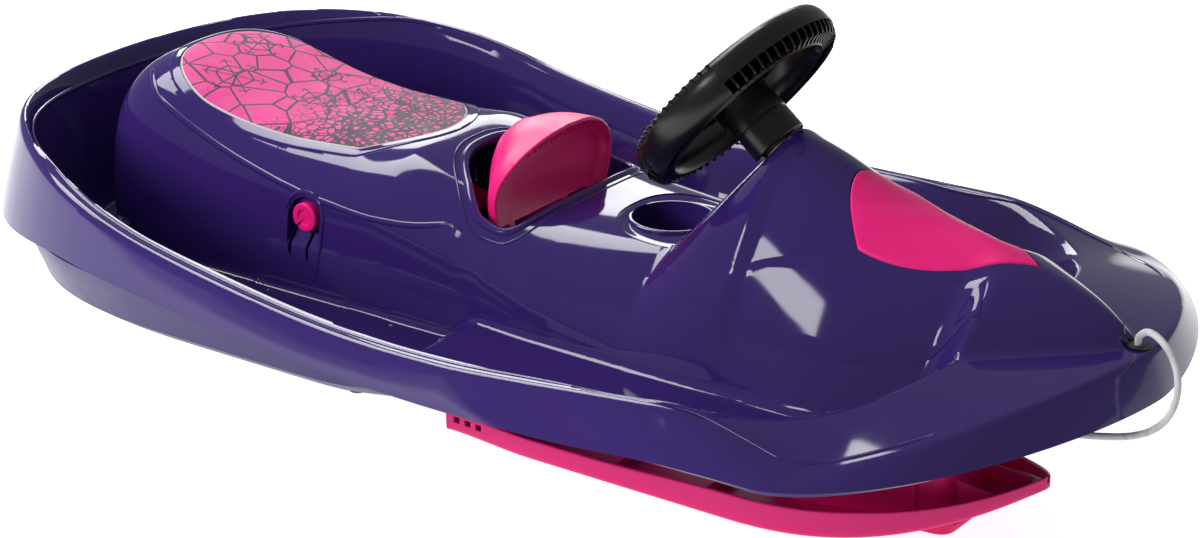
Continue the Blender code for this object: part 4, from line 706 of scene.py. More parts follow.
def cord_material():
    """Braided cord: pale fibre with dirt between the strands."""
    colour, dirt = (0.66, 0.66, 0.68), (0.42, 0.41, 0.42)
    made, tree, shader, place = node_material("braided_cord", colour, 0.8)
    stain = noise(tree, place, 120.0, 5.0)
    mottle = mix_colour(tree, ramp(tree, stain, 0.45, 0.75, 0.0, 1.0), colour, dirt)
    tree.links.new(mottle, shader.inputs["Base Color"])
    tree.links.new(ramp(tree, stain, 0.3, 0.7, 0.72, 0.92), shader.inputs["Roughness"])
    shader.inputs["Sheen Weight"].default_value = 0.25
    bump(tree, shader, noise(tree, place, 2600.0, 2.0), 0.6, 0.00008)
    return made


def arithmetic(tree, operation, *values):
    made = tree.nodes.new("ShaderNodeMath")
    made.operation = operation
    for socket, value in zip(made.inputs, values):
        if isinstance(value, (int, float)):
            socket.default_value = value
        else:
            tree.links.new(value, socket)
    return made.outputs[0]


PAD_PINK = (0.84, 0.045, 0.300)
PAD_DEEP_PINK = (0.62, 0.030, 0.200)
PAD_GREY = (0.050, 0.030, 0.060)
# Stars of the pad's print, each as (place, size, turn)
PAD_STARS = [((-0.395, 0.030), 0.026, 0.2), ((-0.365, -0.038), 0.030, 0.5), ((-0.315, 0.040), 0.020, 0.0),
             ((-0.290, -0.010), 0.024, 0.35), ((-0.235, 0.048), 0.022, 0.1),
             ((-0.225, -0.042), 0.027, 0.6), ((-0.180, 0.006), 0.021, 0.25)]
STAR_LINE = 0.0022
STAR_RING_SHARE = 0.52
STAR_RING_HALF = 0.0010
STAR_BAR_SHARE = 0.80
STAR_BAR_HALF = 0.0008
STAR_BAR_REACH = 0.55
CELLS_SCALE = 34
CELLS_LINE = 0.034
FINE_CELLS_SCALE = 120
FINE_CELLS_LINE = 0.16
FINE_CELLS_START = (-0.30, -0.20)


def snowflake(tree, along_x, along_y, centre, size, turn):
    """Mask of a plain six-armed star with a hexagon round its middle."""
    def calc(operation, *values):
        return arithmetic(tree, operation, *values)

    u, v = calc("SUBTRACT", along_x, centre[0]), calc("SUBTRACT", along_y, centre[1])
    reach = calc("SQRT", calc("ADD", calc("MULTIPLY", u, u), calc("MULTIPLY", v, v)))
    angle = calc("ADD", calc("ARCTAN2", v, u), turn)
    sway = calc("MULTIPLY", calc("ABSOLUTE", calc("SINE", calc("MULTIPLY", angle, 3))), reach)
    arm = calc("MULTIPLY", calc("LESS_THAN", sway, STAR_LINE), calc("LESS_THAN", reach, size))
    wedge = calc("SUBTRACT", calc("FLOORED_MODULO", angle, pi / 3), pi / 6)
    edge = calc("MULTIPLY", calc("COSINE", wedge), reach)
    ring = calc("COMPARE", edge, size * STAR_RING_SHARE, STAR_RING_HALF)
    bars = calc("COMPARE", edge, size * STAR_BAR_SHARE, STAR_BAR_HALF)
    tips = calc("MULTIPLY", bars, calc("LESS_THAN", sway, size * STAR_BAR_REACH))
    return calc("MAXIMUM", calc("MAXIMUM", arm, ring), tips)


def cell_edges(tree, place, scale):
    """Distance from the edges of irregular cells."""
    cells = tree.nodes.new("ShaderNodeTexVoronoi")
    cells.feature = "DISTANCE_TO_EDGE"
    cells.inputs["Scale"].default_value = scale
    tree.links.new(place, cells.inputs["Vector"])
    return cells.outputs["Distance"]


def pad_print():
    """Printed foam of our own plain pattern: stars and crackle lines on pink, finer to the front."""
    made, tree, shader, place = node_material("pad_print", PAD_PINK, 0.6)
    split = tree.nodes.new("ShaderNodeSeparateXYZ")
    tree.links.new(place, split.inputs[0])
    x, y = split.outputs[0], split.outputs[1]
    flat_place = tree.nodes.new("ShaderNodeCombineXYZ")
    tree.links.new(x, flat_place.inputs[0])
    tree.links.new(y, flat_place.inputs[1])
    lines = arithmetic(tree, "LESS_THAN", cell_edges(tree, flat_place.outputs[0], CELLS_SCALE), CELLS_LINE)
    fine_line = ramp(tree, x, *FINE_CELLS_START, 0.0, FINE_CELLS_LINE)
    fine = arithmetic(tree, "LESS_THAN", cell_edges(tree, flat_place.outputs[0], FINE_CELLS_SCALE), fine_line)
    mask = arithmetic(tree, "MAXIMUM", lines, fine)
    for centre, size, turn in PAD_STARS:
        mask = arithmetic(tree, "MAXIMUM", mask, snowflake(tree, x, y, centre, size, turn))
    blotch = ramp(tree, noise(tree, place, 26.0, 2.0), 0.56, 0.60, 0.0, 0.28)
    ground = mix_colour(tree, blotch, PAD_PINK, PAD_DEEP_PINK)
    tree.links.new(mix_colour(tree, mask, ground, PAD_GREY), shader.inputs["Base Color"])
    haze = noise(tree, place, 50.0, 4.0)
    tree.links.new(ramp(tree, haze, 0.3, 0.7, 0.56, 0.68), shader.inputs["Roughness"])
    bump(tree, shader, noise(tree, place, 1400.0, 2.0), 0.5, 0.00006)
    return made


STEEL = steel_material()
CORD_FIBRE = cord_material()
PAD_PRINT = pad_print()


# Mesh helpers

def shade(mesh, angle):
    mesh.shade_smooth()
    mesh.set_sharp_from_angle(angle=angle)


def mesh_of(bm, name):
    mesh = bpy.data.meshes.new(name)
    bm.to_mesh(mesh)
    bm.free()
    return mesh


def add_piece(name, mesh, materials, body, smooth_angle=SHADE_ANGLE):
    for one in materials:
        mesh.materials.append(one)
    made = bpy.data.objects.new(name, mesh)
    bpy.context.scene.collection.objects.link(made)
    shade(mesh, smooth_angle)
    if body:
        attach(made, body)
    return made


def piece_of(bm, name, materials, body, smooth_angle=SHADE_ANGLE):
    """Piece made from a closed skin."""
    bmesh.ops.recalc_face_normals(bm, faces=bm.faces)
    return add_piece(name, mesh_of(bm, name), materials, body, smooth_angle)


def strip(bm, rows):
    """Faces between neighbouring rows of vertices."""
    for one, two in zip(rows, rows[1:]):
        for k in range(len(one) - 1):
            bm.faces.new((one[k], one[k + 1], two[k + 1], two[k]))


def open_sheet(name, sides):
    """Open skin through each side's rows of points, welded where they meet, with its normals up."""
    bm = bmesh.new()
    for rows in sides:
        strip(bm, [[bm.verts.new(point) for point in row] for row in rows])
    bmesh.ops.remove_doubles(bm, verts=bm.verts, dist=MERGE_DISTANCE)
    bmesh.ops.dissolve_degenerate(bm, edges=bm.edges, dist=MERGE_DISTANCE)
    bmesh.ops.recalc_face_normals(bm, faces=bm.faces)
    if sum(face.normal.z * face.calc_area() for face in bm.faces) < 0:
        bmesh.ops.reverse_faces(bm, faces=bm.faces)
    return mesh_of(bm, name)


def both_sides(columns):
    """Columns of points as they are, and mirrored."""
    return [[[(x, side * y, z) for x, y, z in column] for column in columns] for side in (1, -1)]


def loft(sections, closed=True):
    """Skin through rings of points, each ring with the same count; a closed one has flat ends."""
    bm = bmesh.new()
    rings = [[bm.verts.new(point) for point in section] for section in sections]
    strip(bm, [ring + ring[:1] for ring in rings])
    if closed:
        bm.faces.new(rings[0])
        bm.faces.new(rings[-1])
    return bm


def looped(sections):
    """Closed skin through rings of points whose last ring meets the first."""
    bm = loft(sections + sections[:1], closed=False)
    bmesh.ops.remove_doubles(bm, verts=bm.verts, dist=WELD_DISTANCE)
    return bm


def merged(parts):
    """One mesh of several closed skins."""
    whole = bmesh.new()
    for bm in parts:
        bmesh.ops.recalc_face_normals(bm, faces=bm.faces)
        mesh = mesh_of(bm, "part")
        whole.from_mesh(mesh)
        bpy.data.meshes.remove(mesh)
    return whole


def circle(centre, side, up, radius, sides):
    turns = [2 * pi * n / sides for n in range(sides)]
    return [centre + (side * cos(turn) + up * sin(turn)) * radius for turn in turns]


def turned(profile, axis_point, axis, segments=48):
    """Solid turned from (radius, distance along axis) points; a radius of 0 closes on the axis."""
    axis = Vector(axis).normalized()
    side = axis.orthogonal().normalized()
    bm = bmesh.new()
    rings = []
    for radius, distance in profile:
        centre = Vector(axis_point) + axis * distance
        ring = circle(centre, side, axis.cross(side), radius, segments) if radius else [centre]
        rings.append([bm.verts.new(point) for point in ring])
    if profile[0][0]:
        rings.append(rings[0])
    for one, two in zip(rings, rings[1:]):
        for k in range(segments):
            n = (k + 1) % segments
            if len(one) == 1:
                bm.faces.new((one[0], two[n], two[k]))
            elif len(two) == 1:
                bm.faces.new((one[k], one[n], two[0]))
            else:
                bm.faces.new((one[k], one[n], two[n], two[k]))
    return bm


def rod(radius, start, end, segments=32):
    start, end = Vector(start), Vector(end)
    return turned([(0, 0), (radius, 0), (radius, (end - start).length), (0, (end - start).length)],
                  start, end - start, segments)


def side_rod(radius, x, z, start, end, segments):
    """Rod along y."""
    return rod(radius, (x, start, z), (x, end, z), segments)


def block(low, high):
    bm = bmesh.new()
    bmesh.ops.create_cube(bm, size=1)
    size = [h - l for l, h in zip(low, high)]
    middle = [(h + l) / 2 for l, h in zip(low, high)]
    bmesh.ops.scale(bm, vec=size, verts=bm.verts)
    bmesh.ops.translate(bm, vec=middle, verts=bm.verts)
    return bm


def prism(outline, low, high, place=Matrix.Identity(4)):
    """Outline of (u, v) points raised from low to high along w, in a frame of u, v and w."""
    return loft([[place @ Vector((u, v, w)) for u, v in outline] for w in (low, high)])


def side_prism(outline, start, end):
    """Outline of (x, z) points raised along y."""
    return loft([[(x, y, z) for x, z in outline] for y in (start, end)])


def applied(target, step):
    """The target's mesh with its last modifier applied, and that modifier taken off."""
    graph = bpy.context.evaluated_depsgraph_get()
    mesh = bpy.data.meshes.new_from_object(target.evaluated_get(graph))
    target.modifiers.remove(step)
    old = target.data
    target.data = mesh
    bpy.data.meshes.remove(old)


def combine(target, bm, operation):
    """Boolean of the target with a closed helper mesh."""
    bmesh.ops.recalc_face_normals(bm, faces=bm.faces)
    mesh = mesh_of(bm, "helper")
    helper = bpy.data.objects.new("helper", mesh)
    bpy.context.scene.collection.objects.link(helper)
    step = target.modifiers.new("step", "BOOLEAN")
    step.operation = operation
    step.object = helper
    step.solver = "MANIFOLD"
    applied(target, step)
    bpy.data.objects.remove(helper)
    bpy.data.meshes.remove(mesh)


def cut(target, bm):
    combine(target, bm, "DIFFERENCE")


def join(target, bm):
    combine(target, bm, "UNION")


def thicken(made, wall, inward=-1):
    step = made.modifiers.new("wall", "SOLIDIFY")
    step.thickness = wall
    step.offset = inward
    step.use_even_offset = False
    step.use_quality_normals = True
    applied(made, step)


# Lines of points

def smooth_curve(points, steps=16):
    """Dense points on a smooth curve through a route."""
    points = [Vector(point) for point in points]
    padded = points[:1] + points + points[-1:]
    dense = []
    for a, b, c, d in zip(padded, padded[1:], padded[2:], padded[3:]):
        for t in [k / steps for k in range(steps)]:
            dense.append(0.5 * (2 * b + (c - a) * t + (2 * a - 5 * b + 4 * c - d) * t ** 2
                                + (3 * b - a - 3 * c + d) * t ** 3))
    return dense + points[-1:]


def line_steps(line):
    return [(q - p).length for p, q in zip(line, line[1:])]


def spread(line, count=None, spacing=None):
    """Points at even spacing along a line of points."""
    steps = line_steps(line)
    length = sum(steps)
    count = count or max(2, round(length / spacing))
    out = [line[0]]
    run, at = 0.0, 0
    for k in range(1, count):
        target = length * k / count
        while at < len(steps) - 1 and run + steps[at] < target:
            run += steps[at]
            at += 1
        share = (target - run) / steps[at] if steps[at] else 0
        out.append(line[at].lerp(line[at + 1], min(share, 1)))
    return out + line[-1:]


def even_places(places, spacing=ROUTE_STEP, count=None):
    """Evenly spaced places on a smooth curve through pairs of numbers."""
    route = spread(smooth_curve(places), spacing=spacing)
    if count:
        route = spread(route, count=count)
    return [tuple(point) for point in route]


def offset_line(places, margin):
    """Line of places moved to its right-hand side by a margin."""
    moved = []
    for k, (u, v) in enumerate(places):
        before, after = places[max(k - 1, 0)], places[min(k + 1, len(places) - 1)]
        du, dv = after[0] - before[0], after[1] - before[1]
        size = hypot(du, dv)
        moved.append((u + margin * dv / size, v - margin * du / size))
    return moved


def grown(outline, margin):
    """Half outline moved outwards by a margin, with its ends kept on the centre line."""
    mirrored = [(outline[0][0], -outline[1][1]), *outline, (outline[-1][0], -outline[-2][1])]
    moved = [(x, max(0.0, y)) for x, y in offset_line(mirrored, margin)[1:-1]]
    return [(moved[0][0], 0.0), *moved[1:-1], (moved[-1][0], 0.0)]


# Camera first, then the cord

def make_camera():
    camera = bpy.data.cameras.new("camera")
    camera.lens = LENS
    camera.sensor_width = 36
    camera.clip_start = 0.05
    camera.clip_end = 50
    holder = bpy.data.objects.new("camera", camera)
    bpy.context.scene.collection.objects.link(holder)
    level = Vector((sin(VIEW_AZIMUTH), -cos(VIEW_AZIMUTH), 0))
    back = level * cos(VIEW_ELEVATION) + Vector((0, 0, sin(VIEW_ELEVATION)))
    holder.location = Vector(VIEW_TARGET) + back * VIEW_DISTANCE
    holder.rotation_euler = back.to_track_quat("Z", "Y").to_euler()
    bpy.context.scene.camera = holder


def braid_rings(path):
    """Rings of the cord along a path, with the crossing ridges of a braid."""
    rings = []
    side = None
    run = 0.0
    for k, point in enumerate(path):
        before = path[max(k - 1, 0)]
        axis = (path[min(k + 1, len(path) - 1)] - before).normalized()
        side = side or axis.orthogonal().normalized()
        side = (side - axis * side.dot(axis)).normalized()
        other = axis.cross(side)
        run += (point - before).length
        wave = 2 * pi * run / CORD_LAY
        ring = []
        for n in range(CORD_SIDES):
            turn = 2 * pi * n / CORD_SIDES
            ridge = abs(cos(CORD_STRANDS / 2 * (turn + wave))) * abs(cos(CORD_STRANDS / 2 * (turn - wave)))
            reach = CORD_RADIUS * mix(CORD_VALLEY, 1, ridge ** 0.5)
            ring.append(point + (side * cos(turn) + other * sin(turn)) * reach)
        rings.append(ring)
    return rings


def make_cord():
    curve = smooth_curve(CORD_ROUTE)
    path = spread(curve, spacing=CORD_STEP)
    cord = piece_of(loft(braid_rings(path)), "tow_cord_braid", [CORD_FIBRE], "hull", CORD_SHADE_ANGLE)
    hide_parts("tow_cord")


# Hull

def even_angles(start, end, spacing, count=800):
    """Sweep angles that give evenly spaced points of the rim outline."""
    angles = [mix(start, end, k / count) for k in range(count + 1)]
    places = [outline_point(a) for a in angles]
    run = [0.0]
    for (x0, y0), (x1, y1) in zip(places, places[1:]):
        run.append(run[-1] + hypot(x1 - x0, y1 - y0))
    steps = round(run[-1] / spacing)
    return [float(np.interp(run[-1] * k / steps, run, angles)) for k in range(steps + 1)]


def hull_columns():
    """Outline angles of the grid's columns with the spine point that each one runs to."""
    columns = [(a, FRONT_CENTRE) for a in even_angles(0, pi / 2 - 1e-6, END_SPACING)[:-1]]
    count = round((FRONT_CENTRE - REAR_CENTRE) / SIDE_SPACING)
    columns += [(None, mix(FRONT_CENTRE, REAR_CENTRE, k / count)) for k in range(count + 1)]
    columns += [(a, REAR_CENTRE) for a in even_angles(pi / 2 + 1e-6, pi, END_SPACING)[1:]]
    return columns


def rounded(line, corner, radius):
    """Line of points with one corner rounded: what comes before the curve, the curve and what follows it."""
    before = after = corner
    while before > 0 and (line[before] - line[corner]).length < radius:
        before -= 1
    while after < len(line) - 1 and (line[after] - line[corner]).length < radius:
        after += 1
    a, b, c = line[before], line[corner], line[after]
    curve = [a.lerp(b, k / 10).lerp(b.lerp(c, k / 10), k / 10) for k in range(11)]
    return line[:before], curve, line[after + 1:]


def hull_profile(angle, side_x):
    """Points of one column from the rim's lower edge to the spine, on the +Y side."""
    if angle is None:
        rim = (side_x, HULL_HALF_WIDTH)
        crest = (side_x, HULL_HALF_WIDTH - along(CREST_INSET, side_x))
        spine = (side_x, 0.0)
    else:
        rim = outline_point(angle)
        crest = outline_point(angle, along(CREST_INSET, rim[0]))
        end, full = (SPINE_FRONT_X, FRONT_REACH) if cos(angle) > 0 else (SPINE_REAR_X, -REAR_REACH)
        spine = (mix(side_x, end, (rim[0] - side_x) / full), 0.0)
    bottom, top = along(RIM_BOTTOM, rim[0]), rim_height(*crest)
    line = []
    for share in [k / FLANGE_STEPS for k in range(FLANGE_STEPS)]:
        reach = share ** FLANGE_POWER
        x, y = mix(rim[0], crest[0], reach), mix(rim[1], crest[1], reach)
        line.append(Vector((x, y, mix(bottom, top, share))))

    def inward(share):
        return mix(crest[0], spine[0], share), mix(crest[1], spine[1], share)

    foot = first_value(0.0, 1.0, lambda share: mound_share(*inward(share)) <= 1)
    shares = [foot * k / WELL_STEPS for k in range(WELL_STEPS + 1)]
    shares += [mix(foot, 1, (k / MOUND_STEPS) ** MOUND_STEP_POWER) for k in range(1, MOUND_STEPS + 1)]
    line += [Vector((x, y, body_height(x, y))) for x, y in map(inward, shares)]
    head, crest_curve, rest = rounded(line, FLANGE_STEPS, CREST_ROUNDING)
    corner = FLANGE_STEPS + WELL_STEPS - (len(line) - len(rest))
    well, foot_curve, mound = rounded(rest, max(min(corner, len(rest) - 2), 1), FOOT_ROUNDING)
    parts = ((head + crest_curve[:1], RIM_POINTS), (crest_curve, CREST_POINTS),
             (crest_curve[-1:] + well + foot_curve[:1], WELL_POINTS), (foot_curve, FOOT_POINTS),
             (foot_curve[-1:] + mound, MOUND_POINTS))
    points = []
    for part, count in parts:
        points += spread(part, count=count)[:-1]
    return points + (foot_curve + mound)[-1:]


def pad_outline(front=36, side=40, rear=60):
    """Half outline of the seat pad, from its bowed front over the side to the round rear."""
    points = []
    for k in range(front):
        y = PAD_FRONT_HALF_WIDTH * k / front
        points.append((PAD_CORNER_X + PAD_FRONT_BOW * (1 - (y / PAD_FRONT_HALF_WIDTH) ** 2), y))
    for k in range(side):
        run = 1 - k / side
        x = mix(PAD_REAR_CENTRE, PAD_CORNER_X, run)
        points.append((x, mix(PAD_HALF_WIDTH, PAD_FRONT_HALF_WIDTH, run ** 2)))
    points += arc(PAD_REAR_CENTRE, 0, PAD_HALF_WIDTH, pi / 2, pi, rear)
    return points[:-1] + [(points[-1][0], 0.0)]


def insert_outline(side=60, rear=30):
    """Half outline of the bonnet insert, from its tip over the side to the bowed rear."""
    start = INSERT_REAR_X + INSERT_REAR_BOW
    places = [mix(start, INSERT_TIP_X, cos(pi / 2 * k / side)) for k in range(side)]
    points = [(x, insert_half(x)) for x in places] + [(start, INSERT_HALF_WIDTH)]
    for k in range(1, rear + 1):
        share = 1 - k / rear
        points.append((INSERT_REAR_X + INSERT_REAR_BOW * share ** 2, INSERT_HALF_WIDTH * share))
    return points


def slot_outline(margin, count):
    """Outline of the lever's slot, whose back follows the hood."""
    start = SLOT_BACK[-1][1]
    turns = [pi * k / (count // 2) - pi / 2 for k in range(count // 2 + 1)]
    reach, half = SLOT_FRONT_X - start + margin, SLOT_HALF_WIDTH + margin
    front = [superellipse(turn, reach, half, SLOT_POWER) for turn in turns]
    curve = even_places([(x, y) for y, x in reversed(SLOT_BACK)], SLOT_STEP)
    back = offset_line(curve, margin)[1:]
    return [(start + x, y) for x, y in front] + back + [(x, -y) for x, y in reversed(back[:-1])]


def surface_normal(x, y):
    slope_x = (body_height(x + SLOPE_STEP, y) - body_height(x - SLOPE_STEP, y)) / (2 * SLOPE_STEP)
    slope_y = (body_height(x, y + SLOPE_STEP) - body_height(x, y - SLOPE_STEP)) / (2 * SLOPE_STEP)
    return Vector((-slope_x, -slope_y, 1)).normalized()


def on_body(x, y, out=0.0):
    """Point of the hull surface, moved out along its normal."""
    return Vector((x, y, body_height(x, y))) + surface_normal(x, y) * out


def bead(places, radius, sink, closed=False, fade=0.12, sides=14):
    """Half-sunk round bead along places of the hull surface; an open bead fades out at its ends."""
    points = [on_body(x, y, -sink) for x, y in places]
    count = len(points)
    rings = []
    for k, (x, y) in enumerate(places):
        before = points[k - 1] if closed or k else points[k]
        after = points[(k + 1) % count] if closed or k < count - 1 else points[k]
        axis = (after - before).normalized()
        side = axis.cross(surface_normal(x, y)).normalized()
        reach = radius
        if not closed:
            reach *= mix(BEAD_END, 1, smooth_step(0, fade, min(k, count - 1 - k) / count))
        rings.append(circle(points[k], side, side.cross(axis), reach, sides))
    return looped(rings) if closed else loft(rings)


def patch(outline, span, top, bottom, inner=26, border=0):
    """Closed skin between two layers over the hull, each a height by place and depth in from the edge."""
    bm = bmesh.new()
    grid = {}

    def vertex(layer, place):
        x, y, depth = place
        key = (layer, round(x, 6), round(y, 6))
        if key not in grid:
            rise = (top if layer else bottom)(x, y, depth)
            grid[key] = bm.verts.new((x, y, body_height(x, y) + rise))
        return grid[key]

    rows = []
    for x, y in outline:
        end = min(max(x, span[0]), span[1])
        length = hypot(end - x, y)
        depths = list(PATCH_EDGE) + [mix(PATCH_EDGE[-1], length, k / inner) for k in range(1, inner + 1)]
        rows.append([(mix(x, end, depth / length), y * (1 - depth / length), depth) for depth in depths])
    for side in (1, -1):
        for layer in (1, 0):
            for one, two in zip(rows, rows[1:]):
                for k in range(len(one) - 1):
                    corners = [one[k], one[k + 1], two[k + 1], two[k]]
                    ring = [vertex(layer, (x, side * y, depth)) for x, y, depth in corners]
                    ring = [v for n, v in enumerate(ring) if v not in ring[:n]]
                    if len(ring) > 2:
                        bm.faces.new(ring).material_index = 1 if layer and k < border else 0
        for one, two in zip(rows, rows[1:]):
            ring = [vertex(layer, (x, side * y, depth)) for layer, (x, y, depth) in
                    ((1, one[0]), (1, two[0]), (0, two[0]), (0, one[0]))]
            bm.faces.new(ring).material_index = 1 if border else 0
    return bm


def flat(height):
    return lambda x, y, depth: height


def edge_drop(depth, run):
    """Fall of a panel's rounded edge."""
    return PATCH_EDGE_DROP * (1 - min(depth / run, 1)) ** 2


def dish_outline(count=48):
    points = []
    for k in range(count + 1):
        turn = pi * k / count
        reach = DISH_FRONT_REACH if cos(turn) > 0 else DISH_REAR_REACH
        x, y = superellipse(turn, reach, DISH_HALF_WIDTH, DISH_POWER)
        points.append((DISH_X + x, y if 0 < k < count else 0.0))
    return points


def rim_lip():
    """Places of the fine lip on the inner side of the rim's crest, from the bow round the stern."""
    places = []
    for angle, side_x in hull_columns():
        x = side_x if angle is None else outline_point(angle)[0]
        inset = along(CREST_INSET, x) + RIM_LIP_INSET
        places.append((side_x, HULL_HALF_WIDTH - inset) if angle is None else outline_point(angle, inset))
    places = [(x, y) for x, y in places if x < RIM_LIP_FRONT_X and y > RIM_LIP_STERN_GAP]
    stern = outline_point(pi - 1e-6, along(CREST_INSET, RIM_LIP_STERN_X) + RIM_LIP_INSET)[0]
    return places + [(stern, 0.0)] + [(x, -y) for x, y in reversed(places)]


def side_panel(side):
    """Raised panel along one side of the console."""
    top, foot = [even_places(line, PANEL_ROW_STEP, PANEL_COLUMNS) for line in (PANEL_TOP, PANEL_FOOT)]
    layers = []
    for raised in (True, False):
        rows = []
        for k, (one, two) in enumerate(zip(map(Vector, top), map(Vector, foot))):
            row = []
            for n in range(PANEL_ROWS + 1):
                place = one.lerp(two, n / PANEL_ROWS)
                end = min(k, PANEL_COLUMNS - k) * PANEL_COLUMN
                inside = smooth_step(0, PANEL_EDGE, min(end, (place - one).length, (place - two).length))
                rise = mix(PANEL_STEP, PANEL_RISE, inside) if raised else -PANEL_SINK
                row.append(on_body(place.x, side * place.y, rise))
            rows.append(row)
        layers.append(rows)
    return loft([upper + lower[::-1] for upper, lower in zip(*layers)])


def mound_side(z):
    """Half width of the mound's wall at a height, at the axle."""
    return first_value(0.0, along(MOUND_HALF_WIDTH, AXLE_X), lambda y: body_height(AXLE_X, y) <= z)


def pocket_solid(side, margin, back_y, out):
    """Arched block round the axle whose flat back runs out to the wall towards its foot."""
    radius = POCKET_RADIUS + margin
    foot = AXLE_Z - POCKET_DROP - margin
    levels = [mix(foot, AXLE_Z, k / 12) for k in range(12)]
    outline = [(AXLE_X - radius, z) for z in levels]
    outline += arc(AXLE_X, AXLE_Z, radius, pi, 0, 32)
    outline += [(AXLE_X + radius, z) for z in levels[::-1]]
    bm = bmesh.new()
    rows = []
    for outer in (False, True):
        row = []
        for x, z in outline:
            wall = mound_side(z)
            back = mix(back_y, wall + POCKET_FOOT_OUT, 1 - smooth_step(foot, AXLE_Z - CAP_RADIUS, z))
            row.append(bm.verts.new((x, side * (wall + out if outer else back), z)))
        rows.append(row)
    strip(bm, [row + row[:1] for row in rows])
    count = len(outline)
    for row in rows:
        for k in range(count // 2 - 1):
            bm.faces.new((row[k], row[k + 1], row[count - 2 - k], row[count - 1 - k]))
        middle = count // 2
        bm.faces.new((row[middle - 1], row[middle], row[middle + 1]))
    return bm


def wall_ridge(side):
    """Ridge on the mound's wall, over the pocket's arch and down its front edge."""
    places = even_places(ARCH_RIDGE, RIDGE_STEP)
    points = [Vector((x, side * (mound_side(z) - RIDGE_SINK), z)) for x, z in places]
    rings = []
    for k, point in enumerate(points):
        axis = (points[min(k + 1, len(points) - 1)] - points[max(k - 1, 0)]).normalized()
        across = axis.cross(Vector((0, side, RIDGE_LEAN)).normalized()).normalized()
        share = k / len(points)
        swell = mix(RIDGE_START, 1, smooth_step(0, RIDGE_SWELL_END, share))
        thin = mix(1, RIDGE_END, smooth_step(RIDGE_THIN_START, 1, share))
        reach = ARCH_RIDGE_RADIUS * swell * thin
        rings.append(circle(point, across.cross(axis), across, reach, 12))
    return loft(rings)


def upright_slot(side, x, low, high):
    """Round-ended slot through the wall below the axle cap."""
    half = WALL_SLOT_HALF_WIDTH
    outline = arc(x, high - half, half, 0, pi, 10) + arc(x, low + half, half, pi, 2 * pi, 10)
    return side_prism(outline, *[side * y for y in WALL_SLOT_REACH])


def shape_seats(hull):
    """Ledge and recess of the seat pad, and the recess of the bonnet insert."""
    pad, insert = pad_outline(), insert_outline()

    def ledge(x, y, depth):
        return mix(-LEDGE_SINK, LEDGE_RISE, smooth_step(0, LEDGE_RUN, depth))

    join(hull, patch(grown(pad, LEDGE_WIDTH), PAD_SPINE, ledge, flat(-LEDGE_DEPTH)))
    for outline, span, depth in ((pad, PAD_SPINE, PAD_THICKNESS + PATCH_GAP),
                                 (insert, INSERT_SPINE, INSERT_SINK + INSERT_THICKNESS + PATCH_GAP)):
        backing = grown(outline, PATCH_GAP + WALL)
        join(hull, patch(backing, span, flat(-BACKING_SINK), flat(-BACKING_THICKNESS)))
        cut(hull, patch(grown(outline, PATCH_GAP), span, flat(CUTTER_RISE), flat(-depth)))


def shape_cup(hull):
    """Shallow dish with the cup well and its rounded lip."""
    deck = spine_height(CUP_X) - DISH_DEPTH
    floor = spine_height(CUP_X) - CUP_DEPTH
    place, up = (CUP_X, 0, 0), (0, 0, 1)

    def dish(x, y, depth):
        return -mix(DISH_EDGE, DISH_DEPTH, smooth_step(0, DISH_RUN, depth))

    backing = grown(dish_outline(), DISH_BACKING_MARGIN)
    join(hull, patch(backing, DISH_SPINE, *[flat(-depth) for depth in DISH_BACKING]))
    cut(hull, patch(dish_outline(), DISH_SPINE, flat(CUTTER_RISE), dish))
    join(hull, rod(CUP_RADIUS + WALL, (CUP_X, 0, floor - WALL), (CUP_X, 0, deck - LAP), 96))
    inner, outer = CUP_RADIUS - CUP_LIP_INSIDE, CUP_RADIUS + CUP_LIP_OUTSIDE
    crown = arc(outer - CUP_LIP_RADIUS, deck, CUP_LIP_RADIUS, 0, 7 * pi / 12, 7, CUP_LIP_RISE)
    foot = deck - CUP_LIP_FOOT
    join(hull, turned([(inner, foot), (outer, foot), *crown, (inner, deck + CUP_LIP_TOP)], place, up, 96))
    cut(hull, rod(CUP_RADIUS, (CUP_X, 0, floor), (CUP_X, 0, deck + CUTTER_RISE * 2), 96))


def shape_openings(hull):
    """Slot of the lever with its beads, and the holes of the column and the cord."""
    for margin, radius, sink in SLOT_BEADS:
        ring = spread([Vector(place) for place in slot_outline(margin, SLOT_POINTS)], spacing=BEAD_STEP)
        join(hull, bead([tuple(point) for point in ring], radius, sink, True))
    cut(hull, prism(slot_outline(0.0, SLOT_POINTS // 2), WELL_FLOOR_REAR, COLLAR_TOP_HEIGHT))
    start, end = [column_point(station) for station in COLLAR_BORE]
    cut(hull, rod(BUSH_RADIUS + CLEARANCE, start, end, 64))
    low, high = [(CORD_HOLE_X, 0, z) for z in CORD_HOLE_SPAN]
    cut(hull, rod(CORD_GUIDE_RADIUS + CLEARANCE, low, high, 32))


def shape_sides(hull):
    """Rim lip, shoulders, side panels and the pockets of the axle caps."""
    join(hull, bead(rim_lip(), RIM_LIP_RADIUS, RIM_LIP_SINK, False, RIM_LIP_FADE))
    for side in (1, -1):
        shoulder = [(x, side * y) for x, y in even_places(SHOULDER, SHOULDER_STEP)]
        join(hull, bead(shoulder, SHOULDER_RADIUS, SHOULDER_SINK))
        join(hull, side_panel(side))
        join(hull, pocket_solid(side, POCKET_FRAME, POCKET_BACK_Y - WALL, -POCKET_SINK))
        join(hull, wall_ridge(side))
        cut(hull, pocket_solid(side, 0, POCKET_BACK_Y, POCKET_CUT))
        inner, outer = [side * y for y in STEM_HOLE_REACH]
        cut(hull, side_rod(CAP_STEM_RADIUS + CLEARANCE, AXLE_X, AXLE_Z, inner, outer, 40))
        for place in WALL_SLOTS:
            cut(hull, upright_slot(side, *place))


